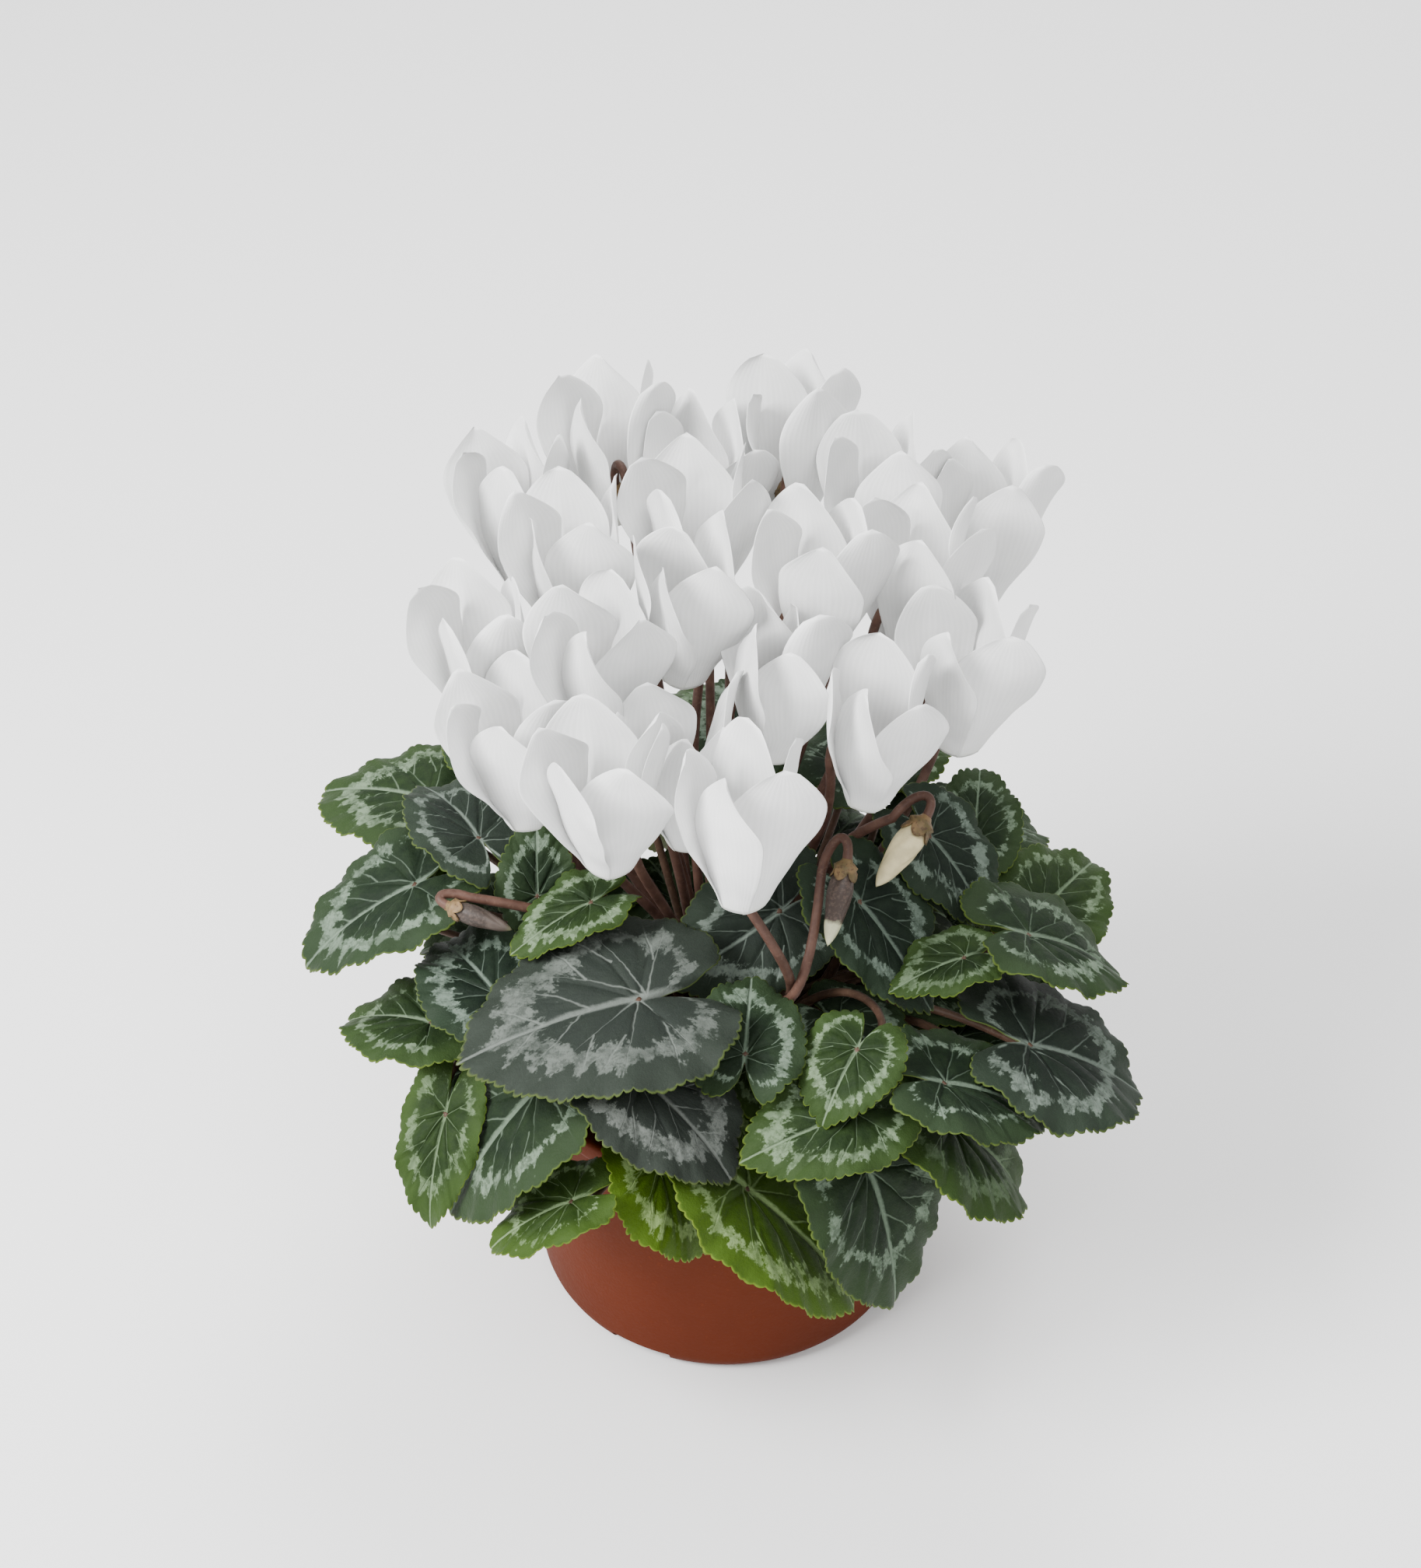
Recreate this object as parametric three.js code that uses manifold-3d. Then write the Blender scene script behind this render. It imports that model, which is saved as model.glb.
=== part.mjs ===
import * as THREE from 'three';
import { mergeVertices } from 'three/addons/utils/BufferGeometryUtils.js';
import Module from 'manifold-3d';

const wasm = await Module();
wasm.setup();

// Driving dimensions, in millimetres. The origin is the middle of the pot's flat underside.
const gap = 0.35;
const pot = {
  height: 96, rimRadius: 65, wallTopRadius: 61.5, wallFootRadius: 59.5, footRounding: 7.5, flatRadius: 52,
  wall: 1.6, lipHeight: 8, sides: 26, notches: 4, notchWidth: 20, notchHeight: 6, notchReach: 11,
  firstNotch: -117, holes: 4, holeRadius: 3.5, holeRing: 30,
};
const soil = { top: 85, sides: 12, underside: 2, stepRadius: 43, stepHeight: 8.3, relief: 1.1 };
const tuber = { radius: 24, height: 25, middle: 87, sides: 10, rings: 5 };
const blade = {
  thickness: 1, innerPoints: 6, rimPoints: 24, fanRimPoints: 18,
  tooth: 0.05, fold: 0.24, cup: 0.34, arch: 0.24, wave: 0.03,
};
const petiole = { radius: 1.4, crownRadii: [16.5, 20.5], steps: 3, standOff: 1.2 };
const rootDepth = 3;
const fanRoot = 17;
const clearVolume = 1e-6;
const bloom = {
  petals: 5, petalStep: 64, rootAngle: 24, petalThickness: 0.9, twist: 30,
  stalkRadius: 1.6, hookReach: 13.4, calyxSeat: 9.8, hookRise: 18, sides: 6,
  throatDepth: 4, lip: [6.6, 0.4], rim: [7.4, 2.3], neckRadius: 4.2,
  crownRadii: [4, 8.5, 12.5], ringEnds: [4, 12, 20],
};
const flowerHeart = new THREE.Vector3(0, 8, 0);
const crown = new THREE.Vector3(0, 0, tuber.middle + tuber.height / 2 - 5);

// A petal's middle line: share of its length, distance from the flower's axis, height, half width.
const petalStations = [
  { share: 0, out: 6.8, up: 1.5, half: 3 },
  { share: 0.3, out: 10.6, up: 14, half: 6 },
  { share: 0.62, out: 12.6, up: 29, half: 11.4 },
  { share: 0.88, out: 14, up: 41.5, half: 9 },
  { share: 1, out: 14.4, up: 48.5, half: 0 },
];

// Leaf blades, each from the top of its stalk to its tip, with the width as a share of the usual.
const leaves = [
  { attach: [-25, -55, 160], tip: [-73, -67, 146], width: 1.05 },
  { attach: [5, -68, 152], tip: [7, -41, 154], width: 0.95 },
  { attach: [36, -67, 152], tip: [26, -84, 140], width: 1 },
  { attach: [61, -70, 142], tip: [90, -65, 122], width: 0.95 },
  { attach: [40, -79, 116], tip: [48, -87, 70], width: 0.85 },
  { attach: [6, -81, 110], tip: [31, -85, 64], width: 0.8 },
  { attach: [-19, -74, 112], tip: [-6, -81, 84], width: 1.1 },
  { attach: [-24, -72, 146], tip: [1, -87, 122], width: 1 },
  { attach: [-54, -63, 132], tip: [-73, -70, 88], width: 0.9 },
  { attach: [-38, -78, 112], tip: [-58, -80, 92], width: 0.8 },
  { attach: [-80, -57, 116], tip: [-82, -67, 84], width: 0.6 },
  { attach: [-65, -39, 146], tip: [-83, -10, 144], width: 0.9 },
  { attach: [-39, -26, 170], tip: [-59, -35, 156], width: 0.75 },
  { attach: [-55, -12, 160], tip: [-55, 3, 178], width: 0.8 },
  { attach: [-86, -36, 132], tip: [-112, -23, 120], width: 0.95 },
  { attach: [-98, 2, 144], tip: [-122, 15, 132], width: 1 },
  { attach: [-82, -5, 154], tip: [-111, -12, 126], width: 0.9 },
  { attach: [-91, 40, 152], tip: [-124, 57, 139], width: 1 },
  { attach: [-64, 47, 162], tip: [-81, 77, 154], width: 0.85 },
  { attach: [-66, 2, 163], tip: [-84, 32, 157], width: 0.8 },
  { attach: [15, -19, 160], tip: [-15, -35, 146], width: 0.85, roll: -42 },
  { attach: [38, -26, 170], tip: [57, -41, 142], width: 0.8 },
  { attach: [65, -39, 160], tip: [45, -45, 152], width: 0.85 },
  { attach: [58, -1, 172], tip: [75, -14, 150], width: 0.9 },
  { attach: [79, -27, 156], tip: [107, -19, 132], width: 0.95 },
  { attach: [96, -2, 146], tip: [114, 26, 140], width: 0.85 },
  { attach: [74, 16, 158], tip: [77, 41, 168], width: 0.8 },
  { attach: [86, -47, 134], tip: [119, -43, 111], width: 1.2 },
  { attach: [64, -66, 121], tip: [94, -65, 95], width: 1.05 },
  { attach: [34, -72, 136], tip: [3, -83, 128], width: 0.8 },
];

// Leafy fans, hidden in the photo's view or half seen: the directions and sizes of the blades of each.
const backBlades = [
  { turn: -13, out: 78, height: 144, length: 36, droop: 24, width: 0.95 },
  { turn: 12, out: 76, height: 152, length: 34, droop: 18, width: 0.9 },
  { turn: 1, out: 82, height: 118, length: 42, droop: 66, width: 0.85 },
  { turn: 4, out: 52, height: 168, length: 32, droop: 12, width: 0.9 },
  { turn: -19, out: 74, height: 114, length: 38, droop: 58, width: 0.9 },
];
const frontBlades = [
  { turn: -62, out: 44, height: 122, length: 30, droop: 16, width: 0.8 },
  { turn: -24, out: 40, height: 126, length: 30, droop: 14, width: 0.8 },
  { turn: 14, out: 40, height: 120, length: 30, droop: 16, width: 0.8 },
  { turn: 50, out: 44, height: 126, length: 30, droop: 14, width: 0.8 },
];
const fans = [
  { name: 'leaf_fan_back_right', bearing: 40, blades: backBlades },
  { name: 'leaf_fan_back', bearing: 80, blades: backBlades },
  { name: 'leaf_fan_back_left', bearing: 118, blades: backBlades },
  { name: 'leaf_fan_front', bearing: -92, blades: frontBlades },
];

// Blooms: the middle of each mouth, how far the flower leans out from upright, in degrees, and for a few
// how far it is turned about its own axis, stalk and all.
const blooms = [
  { mouth: [4, -61, 203], lean: -7, turn: 32 },
  { mouth: [-32, -46, 203], lean: 4 },
  { mouth: [-11, -31, 199], lean: 2 },
  { mouth: [-56, -20, 197], lean: 6 },
  { mouth: [39, -21, 205], lean: 3 },
  { mouth: [66, 5, 203], lean: 3 },
  { mouth: [53, 33, 214], lean: 4 },
  { mouth: [76, 69, 207], lean: 4 },
  { mouth: [45, 64, 219], lean: 3 },
  { mouth: [20, 84, 227], lean: 4 },
  { mouth: [26, 22, 222], lean: 0 },
  { mouth: [-8, 42, 225], lean: 0 },
  { mouth: [-33, 84, 225], lean: 4 },
  { mouth: [-7, 75, 218], lean: 3 },
  { mouth: [-60, 66, 215], lean: 5 },
  { mouth: [-42, 32, 221], lean: 3 },
  { mouth: [-66, 13, 204], lean: 4 },
  { mouth: [-34, -7, 215], lean: 2 },
  { mouth: [-12, 12, 222], lean: 0 },
  { mouth: [13, -8, 211], lean: 0, turn: 30 },
];

// Closed buds: from the calyx to the tip.
const buds = [
  { name: 'bud_cream', seat: [55, -15, 190], tip: [42, -28, 178], radius: 4.2, reach: 8, rise: 12 },
  { name: 'bud_dark', seat: [33, -33, 190], tip: [28, -46, 172], radius: 3.6, reach: 8, rise: 12 },
  { name: 'bud_curled', seat: [-78, -27, 169], tip: [-61, -32, 165], radius: 3, reach: 5, rise: 8 },
];

// Materials.
function finish(color, roughness) {
  return new THREE.MeshStandardMaterial({ color, roughness, metalness: 0 });
}
const materials = {
  pot: finish(0x90503a, 0.62),
  soil: finish(0x2e231b, 0.95),
  stalk: finish(0x8a5a4c, 0.6),
  leaf: finish(0x3f5f3c, 0.5),
  petal: finish(0xf4f3f1, 0.55),
  bud: finish(0xe6dfc4, 0.55),
};

// Small helpers.
const up = new THREE.Vector3(0, 0, 1);
const degrees = Math.PI / 180;

function vector(list) {
  return new THREE.Vector3(...list);
}

function around(bearing) {
  return new THREE.Vector3(Math.cos(bearing * degrees), Math.sin(bearing * degrees), 0);
}

function sum(start, ...steps) {
  const point = start.clone();
  for (const [direction, amount] of steps) {
    point.addScaledVector(direction, amount);
  }
  return point;
}

// An even spread of values from -1 to 1, the same each time.
function spread(index, pace = 0.618034) {
  return (((index + 1) * pace) % 1) * 2 - 1;
}

function enclosedVolume(points, faces) {
  let volume = 0;
  for (const [a, b, c] of faces) {
    volume += points[a].dot(points[b].clone().cross(points[c]));
  }
  return volume / 6;
}

function solidFrom(points, faces) {
  const outward = enclosedVolume(points, faces) > 0 ? faces : faces.map(([a, b, c]) => [a, c, b]);
  return new wasm.Manifold(new wasm.Mesh({
    numProp: 3,
    vertProperties: new Float32Array(points.flatMap((point) => point.toArray())),
    triVerts: new Uint32Array(outward.flat()),
  }));
}

function solidOf(geometry) {
  const bare = geometry.clone();
  bare.deleteAttribute('normal');
  bare.deleteAttribute('uv');
  const merged = mergeVertices(bare, 1e-4);
  const place = merged.attributes.position;
  const points = [];
  for (let i = 0; i < place.count; i += 1) {
    points.push(new THREE.Vector3().fromBufferAttribute(place, i));
  }
  const faces = [];
  for (let i = 0; i < merged.index.count; i += 3) {
    const face = [0, 1, 2].map((k) => merged.index.getX(i + k));
    if (new Set(face).size === 3) {
      faces.push(face);
    }
  }
  return solidFrom(points, faces);
}

function joined(solids) {
  return solids.reduce((whole, solid) => whole.add(solid));
}

// The one body of a solid: loose scraps are dropped and sealed hollows are filled.
function oneBody(solid) {
  const bodies = solid.decompose();
  return bodies.reduce((largest, body) => (body.volume() > largest.volume() ? body : largest));
}

function geometryOf(solid) {
  const mesh = solid.getMesh();
  const geometry = new THREE.BufferGeometry();
  geometry.setAttribute('position', new THREE.BufferAttribute(mesh.vertProperties, 3));
  geometry.setIndex(new THREE.BufferAttribute(mesh.triVerts, 1));
  geometry.computeVertexNormals();
  return geometry;
}

// A turned solid: the profile's points are distance from the axis and height.
function turned(profile, sides) {
  const geometry = new THREE.LatheGeometry(profile.map(([x, y]) => new THREE.Vector2(x, y)), sides);
  geometry.rotateX(Math.PI / 2);
  return solidOf(geometry);
}

// A turned solid moved so that its axis runs from start along direction.
function turnedAlong(profile, sides, start, direction) {
  const geometry = new THREE.LatheGeometry(profile.map(([x, y]) => new THREE.Vector2(x, y)), sides);
  const from = new THREE.Vector3(0, 1, 0);
  const to = direction.clone().normalize();
  geometry.applyQuaternion(new THREE.Quaternion().setFromUnitVectors(from, to));
  geometry.translate(start.x, start.y, start.z);
  return solidOf(geometry);
}

function stem(curve, radius, steps) {
  const section = new THREE.Shape();
  section.moveTo(radius, 0);
  section.lineTo(0, radius);
  section.lineTo(-radius, 0);
  section.lineTo(0, -radius);
  const geometry = new THREE.ExtrudeGeometry(section, { steps, bevelEnabled: false, extrudePath: curve });
  return solidOf(geometry);
}

// What stands already, each with the space that others keep clear of and the piece it belongs to.
const standing = [];

function stand(solid, owner) {
  standing.push({ solid, owner, box: solid.boundingBox() });
}

function apart(one, other) {
  return [0, 1, 2].some((k) => one.min[k] > other.max[k] || one.max[k] < other.min[k]);
}

function neighbours(solid, own) {
  const box = solid.boundingBox();
  return standing.filter((other) => !own.includes(other.owner) && !apart(box, other.box));
}

// How much of a solid lies inside the others, counted no further than a limit.
function crossing(solid, own, limit) {
  let volume = 0;
  for (const other of neighbours(solid, own)) {
    volume += Math.abs(other.solid.intersect(solid).volume());
    if (volume >= limit) {
      return volume;
    }
  }
  return volume;
}

// The first way of bending a piece that crosses nothing, or else the one that crosses least.
function bentClear(ways, make, own) {
  let best = { volume: Infinity };
  for (const way of ways) {
    const volume = crossing(make(way), own, best.volume);
    if (volume < best.volume) {
      best = { way, volume };
    }
    if (volume < clearVolume) {
      break;
    }
  }
  return best.way;
}

// What a piece still crosses is cut away from it.
function cutClear(solid, own) {
  const crossed = neighbours(solid, own).filter((other) => (
    Math.abs(other.solid.intersect(solid).volume()) > clearVolume));
  if (crossed.length === 0) {
    return solid;
  }
  return oneBody(crossed.reduce((rest, other) => rest.subtract(other.solid), solid));
}

// All the mixes of a few settings, the smallest changes first.
function mixes(settings) {
  let list = [{ effort: 0 }];
  for (const [name, values] of Object.entries(settings)) {
    const longer = [];
    for (const start of list) {
      values.forEach((value, rank) => longer.push({ ...start, [name]: value, effort: start.effort + rank }));
    }
    list = longer;
  }
  return list.sort((one, other) => one.effort - other.effort);
}

// The pot: a thin turned wall with a rolled lip, drain notches in the foot and holes in the floor.
function notchWedge(bearing, width, height, reach) {
  const shape = new THREE.Shape();
  const inner = pot.flatRadius + pot.footRounding - reach;
  shape.moveTo(inner, -width / 2);
  shape.lineTo(pot.rimRadius, -width / 2);
  shape.lineTo(pot.rimRadius, width / 2);
  shape.lineTo(inner, width / 2);
  const geometry = new THREE.ExtrudeGeometry(shape, { depth: height + 1, bevelEnabled: false });
  geometry.translate(0, 0, -1);
  geometry.rotateZ(bearing * degrees);
  return solidOf(geometry);
}

function potCavity() {
  const { wall, footRounding } = pot;
  return turned([
    [0, wall],
    [pot.flatRadius, wall],
    [pot.wallFootRadius - wall * 1.6, wall * 2.4],
    [pot.wallFootRadius - wall, footRounding + 1],
    [pot.wallTopRadius - wall, pot.height - pot.lipHeight],
    [pot.wallTopRadius - wall, pot.height + 1],
    [0, pot.height + 1],
  ], pot.sides);
}

function potSolid() {
  const lipFoot = pot.height - pot.lipHeight;
  const corner = [0, 30, 60, 90].map((angle) => [
    pot.flatRadius + (pot.wallFootRadius - pot.flatRadius) * Math.sin(angle * degrees),
    pot.footRounding * (1 - Math.cos(angle * degrees)),
  ]);
  const outer = turned([
    [0, 0],
    ...corner,
    [pot.wallTopRadius, lipFoot],
    [pot.rimRadius - 0.6, lipFoot + 0.5],
    [pot.rimRadius, lipFoot + 2],
    [pot.rimRadius, pot.height - 1.6],
    [pot.rimRadius - 1.4, pot.height],
    [0, pot.height],
  ], pot.sides);
  let cavity = potCavity();
  const cuts = [];
  for (let i = 0; i < pot.notches; i += 1) {
    const bearing = pot.firstNotch + i * 360 / pot.notches;
    const { notchWidth, notchHeight, notchReach, wall } = pot;
    const cover = notchWedge(bearing, notchWidth + 2 * wall, notchHeight + wall, notchReach + wall);
    cavity = cavity.subtract(cover);
    cuts.push(notchWedge(bearing, notchWidth, notchHeight, notchReach));
  }
  for (let i = 0; i < pot.holes; i += 1) {
    const hole = new THREE.CylinderGeometry(pot.holeRadius, pot.holeRadius, 6, 8);
    hole.rotateX(Math.PI / 2);
    const place = around(pot.firstNotch + i * 360 / pot.holes).multiplyScalar(pot.holeRing);
    hole.translate(place.x, place.y, 1);
    cuts.push(solidOf(hole));
  }
  return outer.subtract(cavity).subtract(joined(cuts));
}

// The space over the pot's rim and the soil that leaves and stalks keep clear of.
function potSpace() {
  const lipFoot = pot.height - pot.lipHeight;
  return turned([
    [pot.wallTopRadius - pot.wall - gap, 20],
    [pot.wallTopRadius + gap, 20],
    [pot.wallTopRadius + gap, lipFoot - gap],
    [pot.rimRadius + gap, lipFoot],
    [pot.rimRadius + gap, pot.height],
    [pot.rimRadius - 1, pot.height + gap],
    [pot.wallTopRadius - pot.wall - gap, pot.height + gap],
    [pot.wallTopRadius - pot.wall - gap, 20],
  ], pot.sides);
}

function soilSpace() {
  const top = soil.top + 2.5;
  return turned([
    [0, 20],
    [pot.wallTopRadius, 20],
    [pot.wallTopRadius, top],
    [0, top],
  ], soil.sides);
}

// The tuber: a flattened globe, half sunk in the soil. The soil's pocket is the same shape, larger.
function tuberSolid(extra = 0) {
  const profile = [];
  const steps = tuber.rings;
  for (let i = 0; i <= steps; i += 1) {
    const angle = (-90 + i * 180 / steps) * degrees;
    const out = i === 0 || i === steps ? 0 : (tuber.radius + extra) * Math.cos(angle);
    profile.push([out, tuber.middle + (tuber.height / 2 + extra) * Math.sin(angle)]);
  }
  return turned(profile, tuber.sides);
}

function soilSolid() {
  const radiusAt = (height) => {
    const rise = (height - pot.footRounding) / (pot.height - pot.lipHeight - pot.footRounding);
    return pot.wallFootRadius + (pot.wallTopRadius - pot.wallFootRadius) * rise - pot.wall - gap;
  };
  const facetLoss = Math.cos(Math.PI / pot.sides);
  const geometry = new THREE.LatheGeometry([
    [0, soil.underside],
    [soil.stepRadius, soil.underside],
    [soil.stepRadius, soil.stepHeight],
    [(pot.flatRadius - 1) * facetLoss, soil.stepHeight],
    [radiusAt(12) * facetLoss, 12],
    [radiusAt(soil.top) * facetLoss, soil.top - 1.5],
    [48, soil.top],
    [36, soil.top + 0.5],
    [0, soil.top + 1],
  ].map(([x, y]) => new THREE.Vector2(x, y)), soil.sides);
  geometry.rotateX(Math.PI / 2);
  const place = geometry.attributes.position;
  for (let i = 0; i < place.count; i += 1) {
    const reach = Math.hypot(place.getX(i), place.getY(i));
    if (place.getZ(i) > soil.top - 1 && reach > 1) {
      const bearing = Math.round(Math.atan2(place.getY(i), place.getX(i)) / degrees);
      place.setZ(i, place.getZ(i) + soil.relief * Math.sin(bearing * 7 * degrees + reach));
    }
  }
  return solidOf(geometry).subtract(tuberSolid(gap));
}

// A leaf's own frame: along its midrib, across it and up from its face.
function leafFrame(leaf, way) {
  const out = sum(vector(leaf.attach), [vector(leaf.tip), 1]).multiplyScalar(0.5).sub(crown).normalize();
  const origin = sum(vector(leaf.attach), [out, way.slide]);
  const along = vector(leaf.tip).sub(vector(leaf.attach));
  const length = along.length();
  along.normalize();
  const face = sum(up, [along, -along.z]).normalize();
  const side = along.clone().cross(face);
  const across = side.clone().applyAxisAngle(along, (way.roll + (leaf.roll ?? 0)) * degrees);
  along.applyAxisAngle(across, way.tilt * degrees);
  return { origin, along, across, rise: across.clone().cross(along), length };
}

// The heart-shaped outline: how far it reaches from the stalk, by the angle from the tip.
function heartReach(angle) {
  const away = Math.abs(angle);
  const heart = 0.57 + 0.09 * Math.cos((away - 70) * degrees) + 0.4 * Math.exp(-((away / 38) ** 1.5));
  return heart * (1 - 0.83 * Math.exp(-(((180 - away) / 14) ** 2)));
}

function bladePoint(leaf, frame, share, angle, lift) {
  const { length } = frame;
  const reach = heartReach(angle) * share * length;
  const aside = reach * Math.sin(angle * degrees) * leaf.width;
  const ahead = reach * Math.cos(angle * degrees);
  const height = blade.fold * Math.abs(aside) - blade.cup * aside * aside / length
    + blade.arch * ahead * (length - ahead) / length
    + blade.wave * length * share * share * Math.sin(5 * angle * degrees + leaf.phase);
  return sum(frame.origin, [frame.across, aside], [frame.along, ahead], [frame.rise, height + lift]);
}

// A toothed blade: a ring of rim points round a smaller ring, with the same triangles on both faces.
function bladeSolid(leaf, way, extra = 0) {
  const frame = leafFrame(leaf, way);
  const { innerPoints } = blade;
  const { rimPoints } = leaf;
  const perInner = rimPoints / innerPoints;
  const points = [];
  const faces = [];
  const faceSize = 1 + innerPoints + rimPoints;
  for (const side of [1, -1]) {
    const lift = side * (blade.thickness + extra) / 2;
    points.push(bladePoint(leaf, frame, 0, 0, lift));
    for (let i = 0; i < innerPoints; i += 1) {
      const angle = i * 360 / innerPoints - (i > innerPoints / 2 ? 360 : 0);
      points.push(bladePoint(leaf, frame, 0.5, angle, lift));
    }
    for (let i = 0; i < rimPoints; i += 1) {
      const angle = i * 360 / rimPoints - (i > rimPoints / 2 ? 360 : 0);
      const share = (i % 2 === 1 ? 1 - blade.tooth : 1) + extra * 0.5 / frame.length;
      points.push(bladePoint(leaf, frame, share, angle, lift));
    }
  }
  const inner = (i) => 1 + (i % innerPoints);
  const rim = (i) => 1 + innerPoints + (i % rimPoints);
  for (let i = 0; i < innerPoints; i += 1) {
    faces.push([0, inner(i), inner(i + 1)]);
    const middle = i * perInner + Math.floor(perInner / 2);
    for (let k = i * perInner; k < (i + 1) * perInner; k += 1) {
      faces.push([inner(k <= middle ? i : i + 1), rim(k), rim(k + 1)]);
      if (k === middle) {
        faces.push([inner(i), rim(k + 1), inner(i + 1)]);
      }
    }
  }
  const under = faces.map(([a, b, c]) => [a + faceSize, c + faceSize, b + faceSize]);
  const edge = [];
  for (let i = 0; i < rimPoints; i += 1) {
    edge.push([rim(i), rim(i) + faceSize, rim(i + 1)]);
    edge.push([rim(i + 1), rim(i) + faceSize, rim(i + 1) + faceSize]);
  }
  return solidFrom(points, [...faces, ...under, ...edge]);
}

// Where a stalk leaves the tuber: a little under its skin.
function crownPoint(bearing, radius, depth = rootDepth) {
  const height = tuber.middle + tuber.height / 2 * Math.sqrt(1 - (radius / tuber.radius) ** 2);
  return sum(new THREE.Vector3(0, 0, height - depth), [around(bearing), radius]);
}

// A leaf's stalk, from the crown of the tuber to just under the blade, or into it where they are one body.
function petiolePath(leaf, way, bend, standOff, root) {
  const frame = leafFrame(leaf, way);
  const end = sum(frame.origin, [frame.rise, -standOff]);
  const bearing = Math.atan2(end.y, end.x) / degrees;
  const side = around(bearing + 90);
  return new THREE.CubicBezierCurve3(
    root,
    sum(root, [up, bend.rise], [around(bearing), 12], [side, bend.sway]),
    sum(end, [frame.rise, -bend.reach], [side, bend.sway]),
    end,
  );
}

function petioleRoot(leaf, bend, reach) {
  const bearing = Math.atan2(leaf.attach[1], leaf.attach[0]) / degrees + bend.turn;
  return crownPoint(bearing, reach);
}

// A bloom's frame: its axis points from the mouth to the petal tips, out points away from the plant's middle.
function bloomFrame(flower) {
  const mouth = vector(flower.mouth);
  const away = mouth.clone().sub(flowerHeart).setZ(0).normalize();
  const lean = flower.lean * degrees;
  const axis = sum(new THREE.Vector3(), [away, Math.sin(lean)], [up, Math.cos(lean)]);
  const out = sum(away, [axis, -away.dot(axis)]).normalize();
  out.applyAxisAngle(axis, (flower.turn ?? 0) * degrees);
  return { mouth, axis, out, side: axis.clone().cross(out) };
}

function corollaTube(frame, extra = 0) {
  return turnedAlong([
    [0, bloom.throatDepth],
    [bloom.lip[0] - 1.4, bloom.lip[1] - 0.2 - extra],
    [bloom.rim[0] + extra, bloom.rim[1] - 0.5],
    [bloom.neckRadius + extra, bloom.calyxSeat + extra],
    [0, bloom.calyxSeat + extra],
  ], bloom.sides, frame.mouth, frame.axis);
}

function petalBearing(flower, petal) {
  return flower.spin + (petal - 2) * bloom.petalStep;
}

// One petal of a bloom. It bends up from the rim of the mouth and turns a little on its own length.
function petalPoint(frame, flower, petal, bend, station, aside, lift) {
  const bearing = petalBearing(flower, petal) + bend.turn * Math.min(1, station.share / 0.3);
  const radial = sum(new THREE.Vector3(), [frame.out, Math.cos(bearing * degrees)],
    [frame.side, Math.sin(bearing * degrees)]);
  const tangent = frame.axis.clone().cross(radial);
  const lean = (bend.lean + flower.flare) * degrees * station.share;
  const slope = radial.clone().multiplyScalar(Math.cos(lean)).addScaledVector(frame.axis, -Math.sin(lean));
  const twist = (bloom.twist + bend.twist) * station.share * degrees;
  const width = sum(new THREE.Vector3(), [tangent, Math.cos(twist)], [slope, Math.sin(twist)]);
  const thick = sum(new THREE.Vector3(), [slope, Math.cos(twist)], [tangent, -Math.sin(twist)]);
  const out = station.out + Math.sin(lean) * station.up * bend.size * 0.6;
  const height = station.up * bend.size * Math.cos(lean * 0.6);
  return sum(frame.mouth, [radial, out], [frame.axis, height], [width, aside * station.half], [thick, lift]);
}

function petalSolid(frame, flower, petal, bend, extra = 0) {
  const points = [];
  const rows = petalStations.length;
  for (const side of [1, -1]) {
    const lift = side * (bloom.petalThickness + extra) / 2;
    for (const station of petalStations) {
      const last = station.share === 1;
      const grown = { ...station };
      grown[last ? 'up' : 'half'] += extra / 2;
      for (const aside of last ? [0] : [-1, 1]) {
        points.push(petalPoint(frame, flower, petal, bend, grown, aside, lift));
      }
    }
  }
  const faceSize = points.length / 2;
  const faces = [];
  for (let row = 0; row < rows - 2; row += 1) {
    const near = row * 2;
    faces.push([near, near + 1, near + 3], [near, near + 3, near + 2]);
  }
  faces.push([faceSize - 3, faceSize - 2, faceSize - 1]);
  const rim = [];
  for (let row = 0; row < rows - 1; row += 1) {
    rim.push(row * 2 + 1);
    rim.unshift(row * 2);
  }
  rim.push(faceSize - 1);
  const under = faces.map(([a, b, c]) => [a + faceSize, c + faceSize, b + faceSize]);
  const edge = [];
  rim.forEach((from, i) => {
    const to = rim[(i + 1) % rim.length];
    edge.push([from, from + faceSize, to], [to, from + faceSize, to + faceSize]);
  });
  return solidFrom(points, [...faces, ...under, ...edge]);
}

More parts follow.
